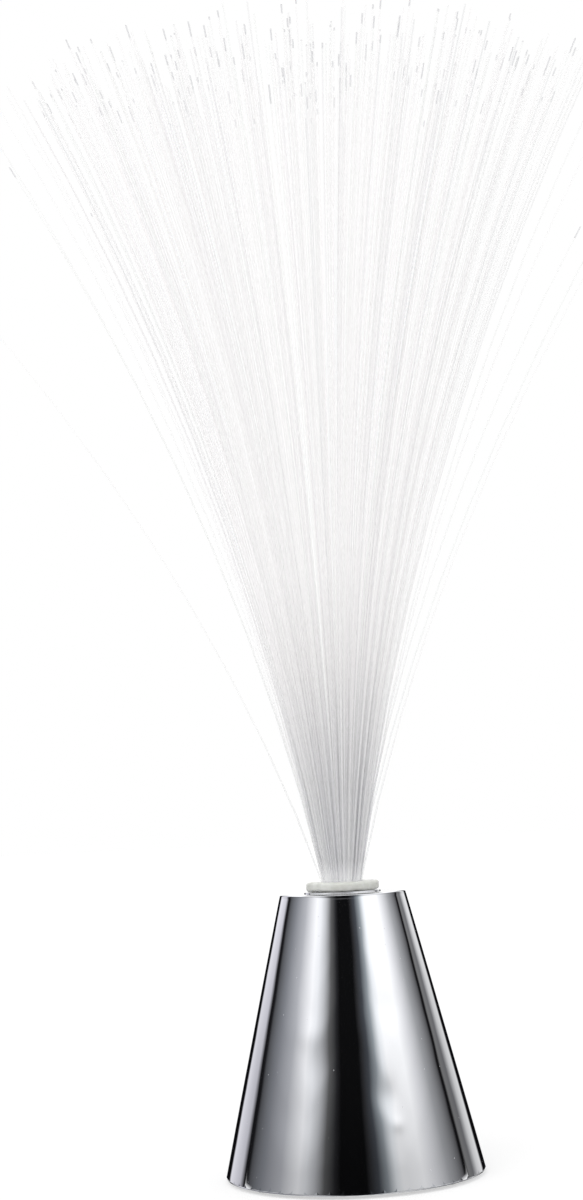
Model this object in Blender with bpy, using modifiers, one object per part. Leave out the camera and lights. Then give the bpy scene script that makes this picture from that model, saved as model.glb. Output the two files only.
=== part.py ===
"""Battery-powered fibre-optic lamp on a plated conical base.

A moulded cone holds three flat-packed cells, a slide switch and a small light
board. A collared bush sits in the hole in its top, and the bound end of a spray
of plastic fibres stands in that bush, over three coloured LEDs. The bush turns
in the cone, the spray lifts out of the bush, and a hinged door under the lamp
opens the battery bay. Lengths are in metres, Z is up, and zero is the table
under the middle of the cone.
"""

import math
import random

import bmesh
import bpy
import numpy as np
from mathutils import Matrix, Vector

# Fits that all pieces share
CLEARANCE = 0.0003
OVERRUN = 0.0010
MERGE_DISTANCE = 0.00001

# Plated cone
RIM_LIFT = 0.0008
CONE_TOP_RADIUS = 0.0177
CONE_HEIGHT = 0.0762
CONE_WALL = 0.0018
CONE_TOP_THICKNESS = 0.0020
CONE_EDGE_RADIUS = 0.0008
CONE_RIM_RADIUS = 0.0004
SOCKET_WALL = 0.0015
SOCKET_REACH = 0.0018
SEAT_MARGIN = 0.00055
SEAT_RISE = 0.0009
BOSS_RADIUS = 0.0030
BOSS_ROOF = 0.0025
BOSS_EDGE_MARGIN = 0.0018
BOSS_ANGLE = math.radians(21.3)
POST_RADIUS = 0.0022
POST_GAP = 0.0011

# Bush with its collar, in the hole of the cone's top
BUNDLE_RADIUS = 0.0061
BUSH_WALL = 0.0008
BUSH_DEPTH = 0.0154
BUSH_LIP_WIDTH = 0.0008
BUSH_LIP_THICKNESS = 0.0010
COLLAR_WIDTH = 0.00305
COLLAR_THICKNESS = 0.0024
COLLAR_EDGE_RADIUS = 0.0011
NECK_SINK = 0.0004

# Spray of fibres
FIBRE_COUNT = 300
FIBRE_SIDES = 3
FIBRE_RADIUS = 0.00021
FIBRE_LENGTH = 0.2480
FIBRE_LENGTH_SPREAD = 0.0120
FIBRE_SIDE_GAIN_SHARE = 0.035
FIBRE_ROOT_MARGIN = 0.0007
FIBRE_ROOT_DEPTH = 0.0006
FIBRE_KNEE_HEIGHT = 0.1150
FIBRE_KNEE_SPREAD = 0.0300
SPRAY_LEAN = math.radians(10.5)
SPRAY_BOW = 0.0479
SPRAY_DEPTH_SHARE = 0.4
SPRAY_SCATTER = 0.0034
SCATTER_FADE = 6
SPRAY_SLICE = 0.0012
SPRAY_TURN = math.radians(20)
SPRAY_SEED = 7
STRAY_COUNT = 30
STRAY_DROOP_SHARE = 0.95
STRAY_CUT_SHARE = 0.19
STRAY_FADE = 4
PARTING_PLACE_SHARES = (-0.60, -0.45, -0.35, -0.11, 0.06, 0.25, 0.37, 0.54)
PARTING_WIDTH_SHARES = (0.012, 0.010, 0.010, 0.030, 0.010, 0.012, 0.010, 0.010)
PARTING_FADE_SHARE = 0.056
GAP_CUTS = 40

# Light board and what stands on it
BOARD_END_MARGIN = 0.0002
BOARD_WIDTH = 0.0230
BOARD_THICKNESS = 0.0016
LED_COUNT = 3
LED_RADIUS = 0.0025
LED_FLANGE_RADIUS = 0.0029
LED_FLANGE_THICKNESS = 0.0010
LED_HEIGHT = 0.0086
LED_TOP_ROOM = 0.0021
LED_GAP = 0.0011
LEAD_WIDTH = 0.0005
LEAD_PITCH = 0.00254
LEAD_TAIL = 0.0012
CUP_WALL = 0.0013
CUP_GAP = 0.0010
CHIP_RADIUS = 0.0026
CHIP_HEIGHT = 0.0012
CHIP_ASIDE = 0.0080
RESISTOR_SIZE = (0.0032, 0.0016, 0.0006)
RESISTOR_OUT = 0.0045
RESISTOR_ASIDE = 0.0090
PAD_OUT = 0.0105
PAD_ASIDE = 0.0085

# Base plate with its battery bay
PLATE_RECESS = 0.0004
PLATE_THICKNESS = 0.0028
BAY_WALL = 0.0012
BAY_CORNER_RADIUS = 0.0020
BAY_SIDE_GAP = 0.0002
BAY_TO_SHELL_GAP = 0.00046
DOOR_THICKNESS = 0.0016
DOOR_LAP = 0.0012
HINGE_RISE = 0.0012
HINGE_SETBACK = 0.0026
HINGE_GAP = 0.0005
BARREL_RADIUS = 0.0010
BARREL_HALF_WIDTH = 0.0060
PIN_RADIUS = 0.00045
PIN_LENGTH = 0.0009
DOOR_NECK_STEP = 0.0004
DOOR_NECK_THICKNESS = 0.0011
LATCH_HALF_WIDTH = 0.0042
LATCH_LENGTH = 0.0070
LATCH_SLIT = 0.0008
LATCH_RIDGE_HEIGHT = 0.0005
LATCH_RIDGE_WIDTH = 0.0010
LATCH_RIDGE_INSET = 0.0014
LATCH_RIDGE_MARGIN = 0.0008
THUMB_DISH_LENGTH = 0.0034

# Cells and their contacts
CELL_COUNT = 3
CELL_RADIUS = 0.00525
CELL_LENGTH = 0.0445
CELL_GAP = 0.0004
CELL_NUB_RADIUS = 0.0019
CELL_NUB_HEIGHT = 0.0009
CELL_EDGE_RADIUS = 0.0005
CONTACT_THICKNESS = 0.0004
CONTACT_SIDE_GAP = 0.00125
TAB_WIDTH = 0.0024
TAB_RISE = 0.0024
SPRING_ROOM = 0.0032
SPRING_WIRE_RADIUS = 0.0003
SPRING_FOOT_RADIUS = 0.0034
SPRING_TIP_RADIUS = 0.0020
SPRING_TURNS = 2.5
SPRING_POINTS_PER_TURN = 10

# Slide switch
SWITCH_TO_DOOR_GAP = 0.0040
SWITCH_WIDTH = 0.0040
SWITCH_LENGTH = 0.0086
SWITCH_HEIGHT = 0.0040
SWITCH_HOLLOW_WALL = 0.0008
SWITCH_TRAVEL = 0.0020
LUG_PITCH = 0.0025
LUG_WIDTH = 0.0009
LUG_THICKNESS = 0.0004
LUG_HEIGHT = 0.0022
SLIDER_LENGTH = 0.0026
SLIDER_SHOE = 0.0008
SLIDER_TABLE_GAP = 0.0005
DISH_WIDTH = 0.0062
DISH_LENGTH = 0.0112
DISH_DEPTH = 0.0012
KEEPER_THICKNESS = 0.0010

# Screws, feet and wires
SCREW_RADIUS = 0.0011
BASE_SCREW_LENGTH = 0.0085
BOARD_SCREW_LENGTH = 0.0085
SCREW_END_ROOM = 0.0014
SCREW_HEAD_RADIUS = 0.0023
SCREW_HEAD_HEIGHT = 0.0014
SCREW_HEAD_CHAMFER = 0.00055
FOOT_RADIUS = 0.0027
FOOT_HEIGHT = 0.0020
FOOT_CHAMFER = 0.0003
FOOT_EDGE_MARGIN = 0.0007
FOOT_ANGLE = math.radians(38.7)
WIRE_RADIUS = 0.00055
WIRE_RISE = 0.0130
WIRE_POINTS = 15

# How finely round pieces are drawn
CONE_SEGMENTS = 64
ROUND_SEGMENTS = 32
SMALL_SEGMENTS = 16
ARC_STEPS = 4

# Levels and radii at the top of the cone that follow from the sizes above
CONE_TOP = RIM_LIFT + CONE_HEIGHT
CONE_CEILING = CONE_TOP - CONE_TOP_THICKNESS
BUSH_BORE = BUNDLE_RADIUS + CLEARANCE
BUSH_RADIUS = BUSH_BORE + BUSH_WALL
SOCKET_BORE = BUSH_RADIUS + CLEARANCE
SOCKET_RADIUS = SOCKET_BORE + SOCKET_WALL
COLLAR_RADIUS = BUSH_RADIUS + COLLAR_WIDTH
SEAT_RADIUS = COLLAR_RADIUS + SEAT_MARGIN
SEAT_TOP = CONE_TOP + SEAT_RISE
COLLAR_SEAT = SEAT_TOP + CLEARANCE
COLLAR_TOP = COLLAR_SEAT + COLLAR_THICKNESS
BUSH_END = COLLAR_SEAT - BUSH_DEPTH
SOCKET_END = BUSH_END - SOCKET_REACH
BUNDLE_END = BUSH_END + BUSH_LIP_THICKNESS + CLEARANCE
NECK_TOP = COLLAR_TOP - NECK_SINK
SLICE_BOTTOM = NECK_TOP - SPRAY_SLICE

# The light board: the LEDs stand as close as their flanges let them, the cup goes
# round them, and the cup's height sets the board's level and the posts' length
LED_RING_RADIUS = (LED_FLANGE_RADIUS + LED_GAP / 2) / math.sin(math.pi / LED_COUNT)
CUP_BORE_RADIUS = LED_RING_RADIUS + LED_FLANGE_RADIUS + CUP_GAP
CUP_RADIUS = CUP_BORE_RADIUS + CUP_WALL
CUP_HEIGHT = LED_HEIGHT + LED_TOP_ROOM
BOARD_TOP = SOCKET_END - CLEARANCE - CUP_HEIGHT - CLEARANCE
BOARD_BOTTOM = BOARD_TOP - BOARD_THICKNESS
POST_END = BOARD_TOP + CLEARANCE
POST_OUT = CUP_RADIUS + POST_GAP + POST_RADIUS
BOARD_LENGTH = 2 * (POST_OUT + SCREW_HEAD_RADIUS + BOARD_END_MARGIN)
BOARD_SCREW_SEAT = BOARD_BOTTOM - CLEARANCE
POST_HOLE_TOP = BOARD_SCREW_SEAT + BOARD_SCREW_LENGTH + SCREW_END_ROOM

# The base, from the underside up and from the cells outwards
UNDERSIDE = RIM_LIFT + PLATE_RECESS
PLATE_TOP = UNDERSIDE + PLATE_THICKNESS
DOOR_TOP = UNDERSIDE + DOOR_THICKNESS
LEDGE = DOOR_TOP + CLEARANCE
CELL_LEVEL = LEDGE + CELL_RADIUS
BAY_CEILING = CELL_LEVEL + CELL_RADIUS + CLEARANCE
BAY_TOP = BAY_CEILING + BAY_WALL
CELL_PITCH = 2 * CELL_RADIUS + CELL_GAP
BAY_HALF_WIDTH = (CELL_COUNT - 1) / 2 * CELL_PITCH + CELL_RADIUS + BAY_SIDE_GAP
CONTACT_WIDTH = 2 * (CELL_RADIUS - CONTACT_SIDE_GAP)
CONTACT_ROOM = CLEARANCE + CONTACT_THICKNESS + CLEARANCE
BAY_HALF_LENGTH = (CONTACT_ROOM + CELL_LENGTH + CLEARANCE + SPRING_ROOM + CONTACT_ROOM) / 2
DOOR_HALF_WIDTH = BAY_HALF_WIDTH + DOOR_LAP
DOOR_HALF_LENGTH = BAY_HALF_LENGTH + DOOR_LAP
HINGE_Y = -DOOR_HALF_LENGTH - HINGE_SETBACK
HINGE_Z = UNDERSIDE + HINGE_RISE
SWITCH_OUT = DOOR_HALF_WIDTH + SWITCH_TO_DOOR_GAP + DISH_WIDTH / 2
CONTACT_Y = BAY_HALF_LENGTH - CLEARANCE - CONTACT_THICKNESS / 2
TAB_TOP = BAY_TOP + TAB_RISE
SWITCH_BOTTOM = PLATE_TOP + CLEARANCE
SWITCH_TOP = SWITCH_BOTTOM + SWITCH_HEIGHT
SHOE_BOTTOM = SWITCH_BOTTOM
SHOE_TOP = SHOE_BOTTOM + SLIDER_SHOE
SLIDER_WIDTH = SWITCH_WIDTH - 2 * (SWITCH_HOLLOW_WALL + CLEARANCE)
HEAD_ROOM = SCREW_HEAD_RADIUS + CLEARANCE
SCREW_HOLE = SCREW_RADIUS + CLEARANCE
BASE_SCREW_SEAT = UNDERSIDE + CLEARANCE + SCREW_HEAD_HEIGHT
HEAD_CEILING = BASE_SCREW_SEAT + CLEARANCE
BOSS_END = PLATE_TOP + CLEARANCE
BOSS_HOLE_TOP = BASE_SCREW_SEAT + BASE_SCREW_LENGTH + SCREW_END_ROOM
BOSS_TOP = BOSS_HOLE_TOP + BOSS_ROOF

# The cone's foot is as wide as the bay's upper corners need, inside its sloping wall
BAY_CORNER_OUT = math.hypot(BAY_HALF_WIDTH - BAY_CORNER_RADIUS, BAY_HALF_LENGTH - BAY_CORNER_RADIUS)
SHELL_AT_BAY_TOP = BAY_CORNER_OUT + BAY_CORNER_RADIUS + BAY_WALL + BAY_TO_SHELL_GAP + CONE_WALL
BAY_TOP_SHARE = (BAY_TOP - RIM_LIFT) / CONE_HEIGHT
CONE_FOOT_RADIUS = (SHELL_AT_BAY_TOP - BAY_TOP_SHARE * CONE_TOP_RADIUS) / (1 - BAY_TOP_SHARE)


def cone_radius(level):
    """The cone's outer radius at a height, a straight taper from rim to top."""
    share = (level - RIM_LIFT) / CONE_HEIGHT
    return CONE_FOOT_RADIUS + share * (CONE_TOP_RADIUS - CONE_FOOT_RADIUS)


def cone_bore(level):
    """The cone's inner radius at a height."""
    return cone_radius(level) - CONE_WALL


def clear_scene():
    """Removes whatever the open file holds."""
    for item in list(bpy.data.objects):
        bpy.data.objects.remove(item, do_unlink=True)


def new_collection(name):
    """A collection under the scene's own."""
    made = bpy.data.collections.new(name)
    bpy.context.scene.collection.children.link(made)
    return made


def linear(channel):
    """One sRGB channel, 0 to 255, as linear light."""
    value = channel / 255
    return value / 12.92 if value <= 0.04045 else ((value + 0.055) / 1.055) ** 2.4


def material(name, colour, roughness, metallic=0.0, alpha=1.0):
    """A Principled material from a hex colour."""
    made = bpy.data.materials.new(name)
    made.use_nodes = True
    shader = made.node_tree.nodes["Principled BSDF"]
    channels = [linear(int(colour[place:place + 2], 16)) for place in (1, 3, 5)]
    shader.inputs["Base Color"].default_value = (*channels, 1.0)
    shader.inputs["Roughness"].default_value = roughness
    shader.inputs["Metallic"].default_value = metallic
    shader.inputs["Alpha"].default_value = alpha
    return made


def add_object(name, data, collection, parent=None, place=(0, 0, 0), turn=(0, 0, 0)):
    """An object at a place and turn in its parent's frame."""
    made = bpy.data.objects.new(name, data)
    collection.objects.link(made)
    made.parent = parent
    made.location = place
    made.rotation_euler = turn
    return made


def add_empty(name, place=(0, 0, 0), parent=None):
    """An empty that pieces hang from, such as a joint's axis."""
    return add_object(name, None, parts, parent, place)


def add_part(name, data, look, parent=None, place=(0, 0, 0), turn=(0, 0, 0)):
    """A named piece of the lamp in its own material."""
    made = add_object(name, data, parts, parent, place, turn)
    data.materials.append(look)
    return made


def add_tool(name, data, parent=None, place=(0, 0, 0)):
    """A hidden solid that cuts or joins a piece."""
    made = add_object(name, data, tools, parent, place)
    made.hide_render = True
    made.display_type = "WIRE"
    return made


def mesh_from(name, fill):
    """A mesh that fill(bm) builds."""
    bm = bmesh.new()
    fill(bm)
    mesh = bpy.data.meshes.new(name)
    bm.to_mesh(mesh)
    bm.free()
    return mesh


def box(bm, low, high, corner=0.0):
    """A box between two corners, with its upright edges rounded by corner."""
    low = Vector(low)
    high = Vector(high)
    matrix = Matrix.Translation((low + high) / 2) @ Matrix.Diagonal((*(high - low), 1))
    made = bmesh.ops.create_cube(bm, size=1, matrix=matrix)["verts"]
    if corner:
        edges = {edge for vert in made for edge in vert.link_edges}
        upright = [e for e in edges if (e.verts[0].co - e.verts[1].co).xy.length < MERGE_DISTANCE]
        bmesh.ops.bevel(
            bm, geom=upright, offset=corner, segments=ARC_STEPS, profile=0.5, affect="EDGES"
        )


def rod(bm, start, end, radius, segments=SMALL_SEGMENTS, end_radius=None):
    """A round bar from start to end, tapered where end_radius is given."""
    start = Vector(start)
    axis = Vector(end) - start
    turn = axis.to_track_quat("Z", "Y").to_matrix().to_4x4()
    bmesh.ops.create_cone(
        bm,
        cap_ends=True,
        segments=segments,
        radius1=radius,
        radius2=radius if end_radius is None else end_radius,
        depth=axis.length,
        matrix=Matrix.Translation(start + axis / 2) @ turn,
    )


def arc(centre, radius, first, last, steps=ARC_STEPS):
    """Points of a profile's round corner, from one angle in degrees to another."""
    angles = [math.radians(first + (last - first) * i / steps) for i in range(steps + 1)]
    return [(centre[0] + radius * math.cos(a), centre[1] + radius * math.sin(a)) for a in angles]


def turned_mesh(name, profile, ring):
    """A profile of (radius, height) points, closed into a ring section or open."""
    points = [(radius, 0, height) for radius, height in profile]
    edges = [(i, i + 1) for i in range(len(points) - 1)]
    if ring:
        edges.append((len(points) - 1, 0))
    mesh = bpy.data.meshes.new(name)
    mesh.from_pydata(points, edges, [])
    return mesh


def turn_about_z(piece, segments):
    """Sweeps a profile once round the piece's own Z axis."""
    screw = piece.modifiers.new("Turn", "SCREW")
    screw.axis = "Z"
    screw.steps = segments
    screw.render_steps = segments
    screw.use_merge_vertices = True
    screw.merge_threshold = MERGE_DISTANCE
    screw.use_smooth_shade = True


def turned(name, profile, look, ring=False, segments=ROUND_SEGMENTS, **where):
    """A turned piece. Its profile runs down the outer side."""
    piece = add_part(name, turned_mesh(name, profile, ring), look, **where)
    turn_about_z(piece, segments)
    return piece


def combine(piece, tool, operation):
    """Joins a tool to a piece or cuts it away."""
    step = piece.modifiers.new(tool.name, "BOOLEAN")
    step.operation = operation
    step.object = tool
    step.solver = "EXACT"


def cut(piece, name, fill, **where):
    """Cuts away the solid that fill(bm) builds."""
    combine(piece, add_tool(name, mesh_from(name, fill), **where), "DIFFERENCE")


def join(piece, name, fill, **where):
    """Joins on the solid that fill(bm) builds."""
    combine(piece, add_tool(name, mesh_from(name, fill), **where), "UNION")


def four_places(circle, angle):
    """Four places on a circle, at an angle to either side of the X axis."""
    out = circle * math.cos(angle)
    aside = circle * math.sin(angle)
    return [(x * out, y * aside) for x in (-1, 1) for y in (-1, 1)]


def boss_places():
    """The screw bosses' places, with the screw heads inside the base plate's edge."""
    return four_places(cone_bore(PLATE_TOP) - BOSS_EDGE_MARGIN - HEAD_ROOM, BOSS_ANGLE)


def foot_places():
    """The rubber feet's places, just inside the base plate's edge."""
    return four_places(cone_bore(UNDERSIDE) - FOOT_EDGE_MARGIN - FOOT_RADIUS, FOOT_ANGLE)


def path_curve(name, runs, depth, resolution):
    """A curve object's data with one straight-run spline for each run of points."""
    curve = bpy.data.curves.new(name, "CURVE")
    curve.dimensions = "3D"
    curve.bevel_depth = depth
    curve.bevel_resolution = resolution
    curve.use_fill_caps = True
    for run in runs:
        spline = curve.splines.new("POLY")
        spline.points.add(len(run) - 1)
        for point, place in zip(spline.points, run):
            point.co = (*place, 1)
    return curve


def mesh_of_curve(name, curve):
    """The curve's tubes as one closed mesh each, with their caps welded on."""
    guide = add_tool(name + "_guide", curve)
    seen = guide.evaluated_get(bpy.context.evaluated_depsgraph_get())
    mesh = bpy.data.meshes.new_from_object(seen)
    mesh.name = name
    bm = bmesh.new()
    bm.from_mesh(mesh)
    bmesh.ops.remove_doubles(bm, verts=bm.verts, dist=MERGE_DISTANCE)
    bmesh.ops.recalc_face_normals(bm, faces=bm.faces)
    bm.to_mesh(mesh)
    bm.free()
    bpy.data.objects.remove(guide, do_unlink=True)
    return mesh


def make_cone():
    """The plated cone: one moulding with its raised seat, socket, screw bosses and posts."""
    top_edge = (cone_radius(CONE_TOP - CONE_EDGE_RADIUS) - CONE_EDGE_RADIUS, CONE_TOP - CONE_EDGE_RADIUS)
    rim_edge = (CONE_FOOT_RADIUS - CONE_RIM_RADIUS, RIM_LIFT + CONE_RIM_RADIUS)
    profile = [(SOCKET_BORE, SEAT_TOP), (SEAT_RADIUS, SEAT_TOP), (SEAT_RADIUS, CONE_TOP)]
    profile += arc(top_edge, CONE_EDGE_RADIUS, 90, 0)
    profile += arc(rim_edge, CONE_RIM_RADIUS, 0, -90, 2)
    profile += [
        (cone_bore(RIM_LIFT), RIM_LIFT),
        (cone_bore(CONE_CEILING), CONE_CEILING),
        (SOCKET_RADIUS, CONE_CEILING),
        (SOCKET_RADIUS, SOCKET_END),
        (SOCKET_BORE, SOCKET_END),
    ]
    cone = turned("cone_shell", profile, chrome, ring=True, segments=CONE_SEGMENTS, parent=lamp)

    def bosses(bm):
        for x, y in boss_places():
            rod(bm, (x, y, BOSS_END), (x, y, BOSS_TOP), BOSS_RADIUS)

    def boss_holes(bm):
        for x, y in boss_places():
            rod(bm, (x, y, BOSS_END - OVERRUN), (x, y, BOSS_HOLE_TOP), SCREW_HOLE)

    def posts(bm):
        for x in (-POST_OUT, POST_OUT):
            rod(bm, (x, 0, POST_END), (x, 0, CONE_CEILING + CONE_TOP_THICKNESS / 2), POST_RADIUS)

    def post_holes(bm):
        for x in (-POST_OUT, POST_OUT):
            rod(bm, (x, 0, POST_END - OVERRUN), (x, 0, POST_HOLE_TOP), SCREW_HOLE)

    join(cone, "cone_bosses", bosses)
    join(cone, "cone_posts", posts)
    cut(cone, "cone_boss_holes", boss_holes)
    cut(cone, "cone_post_holes", post_holes)


def make_bush():
    """The pale bush: a round-edged collar on the cone's top and a sleeve in its socket."""
    rounding = COLLAR_EDGE_RADIUS
    upper = (COLLAR_RADIUS - rounding, COLLAR_THICKNESS - rounding)
    lower = (COLLAR_RADIUS - rounding, rounding)
    lip_bore = BUSH_BORE - BUSH_LIP_WIDTH
    profile = [(BUSH_BORE, COLLAR_THICKNESS)]
    profile += arc(upper, rounding, 90, 0)
    profile += arc(lower, rounding, 0, -90)
    profile += [
        (BUSH_RADIUS, 0),
        (BUSH_RADIUS, -BUSH_DEPTH),
        (lip_bore, -BUSH_DEPTH),
        (lip_bore, -BUSH_DEPTH + BUSH_LIP_THICKNESS),
        (BUSH_BORE, -BUSH_DEPTH + BUSH_LIP_THICKNESS),
    ]
    turned("collar_bush", profile, ivory, ring=True, parent=turning_head)


def make_bundle():
    """The bound lower end of the fibres, polished flat underneath to take the light."""
    height = SLICE_BOTTOM - CLEARANCE - BUNDLE_END

    def fill(bm):
        rod(bm, (0, 0, 0), (0, 0, height), BUNDLE_RADIUS, ROUND_SEGMENTS)

    drop = BUNDLE_END - SLICE_BOTTOM
    add_part("fibre_bundle", mesh_from("fibre_bundle", fill), potting, lifting_head, (0, 0, drop))


def spray_reach(height):
    """How far out the outermost fibre has leaned at a height above the neck.

    It leaves the collar at a fixed lean and bows further out as the square of
    the height, as a thin rod does under its own weight.
    """
    root = BUNDLE_RADIUS - FIBRE_ROOT_MARGIN
    return root + math.tan(SPRAY_LEAN) * height + SPRAY_BOW * (height / FIBRE_LENGTH) ** 2


def parted(share):
    """Moves a fibre's place across the fan, a share of its reach, away from the partings.

    The push falls off with distance, slowly enough that no fibre passes another.
    """
    for place, half_width in zip(PARTING_PLACE_SHARES, PARTING_WIDTH_SHARES):
        fade = math.exp(-abs(share - place) / PARTING_FADE_SHARE)
        share += math.copysign(half_width, share - place) * fade
    return share


def spray_paths():
    """The fibres' paths above the neck, in the frame of the slice.

    Their roots lie on a sunflower spiral, which packs a disc evenly. Each fibre
    keeps its share of the reach at every height, so that no two of them cross,
    and a small scatter, which grows with the reach, takes the pattern away. The
    fan is flatter from front to back than it is wide, and seen from the front
    its fibres stand in clumps with partings between them. Their lengths differ
    a little, and those at the sides are somewhat longer. The outermost ones
    droop further, the more so the further out they start, and are shorter.
    """
    draw = random.Random(SPRAY_SEED)
    golden = math.pi * (3 - math.sqrt(5))
    root = spray_reach(0)
    full = spray_reach(FIBRE_LENGTH)
    spread = full - root
    paths = []
    for i in range(FIBRE_COUNT):
        share = math.sqrt((i + 0.5) / FIBRE_COUNT)
        angle = SPRAY_TURN + i * golden
        rank = max(0, i + 1 - FIBRE_COUNT + STRAY_COUNT) / STRAY_COUNT
        sag = rank ** STRAY_FADE
        droop = 1 + STRAY_DROOP_SHARE * sag
        across = share * math.cos(angle)
        inward = share * math.sin(angle)
        length = FIBRE_LENGTH * (1 + FIBRE_SIDE_GAIN_SHARE * across ** 2 - STRAY_CUT_SHARE * sag)
        length -= draw.random() ** 2 * FIBRE_LENGTH_SPREAD
        lean_share = droop * math.hypot(across, SPRAY_DEPTH_SHARE * inward)
        tip = length / math.hypot(1, lean_share * spread / FIBRE_LENGTH)
        knee = FIBRE_KNEE_HEIGHT + draw.uniform(-1, 1) * FIBRE_KNEE_SPREAD
        drift = draw.uniform(0, math.tau)
        scatter = SPRAY_SCATTER * (1 - share ** SCATTER_FADE) * draw.random()
        moved_x = scatter * math.cos(drift) + (parted(across) - across) * full
        moved_y = scatter * math.sin(drift)
        path = []
        for height in (-FIBRE_ROOT_DEPTH, knee, tip):
            lean = spray_reach(max(height, 0)) - root
            grown = lean / spread
            x = across * (root + droop * lean) + grown * moved_x
            y = inward * root + SPRAY_DEPTH_SHARE * (inward * droop * lean + grown * moved_y)
            path.append((x, y, SPRAY_SLICE + height))
        paths.append(path)
    return paths


def least_gap(paths):
    """The least gap between two fibres, read on level cuts all the way up the spray."""
    routes = np.array(paths)
    least = FIBRE_LENGTH
    for level in np.linspace(SPRAY_SLICE, routes[:, -1, 2].max(), GAP_CUTS):
        cut_ones = [route for route in routes if route[-1, 2] >= level]
        spots = np.array([
            [np.interp(level, route[:, 2], route[:, axis]) for axis in (0, 1)]
            for route in cut_ones
        ])
        between = np.linalg.norm(spots[:, None] - spots[None], axis=2)
        np.fill_diagonal(between, FIBRE_LENGTH)
        least = min(least, between.min() - 2 * FIBRE_RADIUS)
    return least


def make_spray():
    """The spray: three-sided fibres fused to the top slice of the bound bundle."""
    paths = spray_paths()
    section = bpy.data.curves.new("fibre_section", "CURVE")
    section.dimensions = "2D"
    outline = section.splines.new("POLY")
    outline.points.add(FIBRE_SIDES - 1)
    outline.use_cyclic_u = True
    for i, point in enumerate(outline.points):
        turn = math.tau * i / FIBRE_SIDES
        point.co = (FIBRE_RADIUS * math.cos(turn), FIBRE_RADIUS * math.sin(turn), 0, 1)
    section_guide = add_tool("fibre_section", section)
    curve = path_curve("fibre_paths", paths, 0, 0)
    curve.bevel_mode = "OBJECT"
    curve.bevel_object = section_guide
    strands = mesh_of_curve("fibre_strands", curve)
    bpy.data.objects.remove(section_guide, do_unlink=True)

    def fill(bm):
        rod(bm, (0, 0, 0), (0, 0, SPRAY_SLICE), BUNDLE_RADIUS, ROUND_SEGMENTS)

    spray = add_part("fibre_spray", mesh_from("fibre_spray", fill), acrylic, lifting_head)
    combine(spray, add_tool("fibre_strands", strands, lifting_head), "UNION")
    print(f"least gap between fibres {least_gap(paths) * 1000:.2f} mm")


def make_light_cup():
    """The white cup that keeps the LEDs' light together under the bundle."""
    outer = [(CUP_RADIUS, CUP_HEIGHT), (CUP_RADIUS, 0)]
    profile = outer + [(CUP_BORE_RADIUS, 0), (CUP_BORE_RADIUS, CUP_HEIGHT)]
    level = BOARD_TOP + CLEARANCE
    turned("light_cup", profile, white_plastic, ring=True, parent=lamp, place=(0, 0, level))


def led_places():
    """The LEDs' places on the board, a third of a turn apart."""
    angles = [math.pi / 2 + math.tau * i / LED_COUNT for i in range(LED_COUNT)]
    return [(LED_RING_RADIUS * math.cos(a), LED_RING_RADIUS * math.sin(a)) for a in angles]


def make_board():
    """The light board on the cone's two posts, holding the cup against the socket."""
    half_length = BOARD_LENGTH / 2
    half_width = BOARD_WIDTH / 2

    def fill(bm):
        low = (-half_length, -half_width, -BOARD_THICKNESS)
        box(bm, low, (half_length, half_width, 0))

    place = (0, 0, BOARD_TOP)
    board = add_part("led_board", mesh_from("led_board", fill), green_board, lamp, place)

    def screw_holes(bm):
        for x in (-POST_OUT, POST_OUT):
            rod(bm, (x, 0, -BOARD_THICKNESS - OVERRUN), (x, 0, OVERRUN), SCREW_HOLE)

    def lead_holes(bm):
        hole = math.hypot(LEAD_WIDTH, LEAD_WIDTH) / 2 + CLEARANCE
        for x, y in led_places():
            for side in (-LEAD_PITCH / 2, LEAD_PITCH / 2):
                start = (x + side, y, -BOARD_THICKNESS - OVERRUN)
                rod(bm, start, (x + side, y, OVERRUN), hole, SMALL_SEGMENTS // 2)

    cut(board, "board_screw_holes", screw_holes, place=place)
    cut(board, "board_lead_holes", lead_holes, place=place)

    chip_profile = [(0, 0), (CHIP_RADIUS, 0)]
    for step in range(1, ARC_STEPS + 1):
        turn = math.pi / 2 * step / ARC_STEPS
        chip_profile.append((CHIP_RADIUS * math.cos(turn), -CHIP_HEIGHT * math.sin(turn)))
    chip_profile[-1] = (0, -CHIP_HEIGHT)
    under = BOARD_BOTTOM - CLEARANCE
    turned(
        "controller_chip",
        chip_profile,
        black_plastic,
        segments=SMALL_SEGMENTS,
        parent=lamp,
        place=(0, -CHIP_ASIDE, under),
    )
    length, width, height = RESISTOR_SIZE
    for number, x in enumerate((-RESISTOR_OUT, RESISTOR_OUT), 1):
        name = f"resistor_{number}"

        def body(bm):
            box(bm, (-length / 2, -width / 2, -height), (length / 2, width / 2, 0))

        add_part(name, mesh_from(name, body), black_plastic, lamp, (x, RESISTOR_ASIDE, under))


def make_leds():
    """Three domed LEDs with a flanged foot and two square leads each."""
    profile = [(0, LED_HEIGHT)]
    shoulder = LED_HEIGHT - LED_RADIUS
    profile += arc((0, shoulder), LED_RADIUS, 90, 0)[1:]
    profile += [
        (LED_RADIUS, LED_FLANGE_THICKNESS),
        (LED_FLANGE_RADIUS, LED_FLANGE_THICKNESS),
        (LED_FLANGE_RADIUS, 0),
        (0, 0),
    ]

    def leads(bm):
        half = LEAD_WIDTH / 2
        foot = -CLEARANCE - BOARD_THICKNESS - LEAD_TAIL
        for side in (-LEAD_PITCH / 2, LEAD_PITCH / 2):
            box(bm, (side - half, -half, foot), (side + half, half, LED_FLANGE_THICKNESS / 2))

    looks = {"led_red": red_lens, "led_green": green_lens, "led_blue": blue_lens}
    for (name, look), (x, y) in zip(looks.items(), led_places()):
        place = (x, y, BOARD_TOP + CLEARANCE)
        led = turned(name, profile, look, segments=SMALL_SEGMENTS, parent=lamp, place=place)
        join(led, name + "_leads", leads, place=place)


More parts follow.
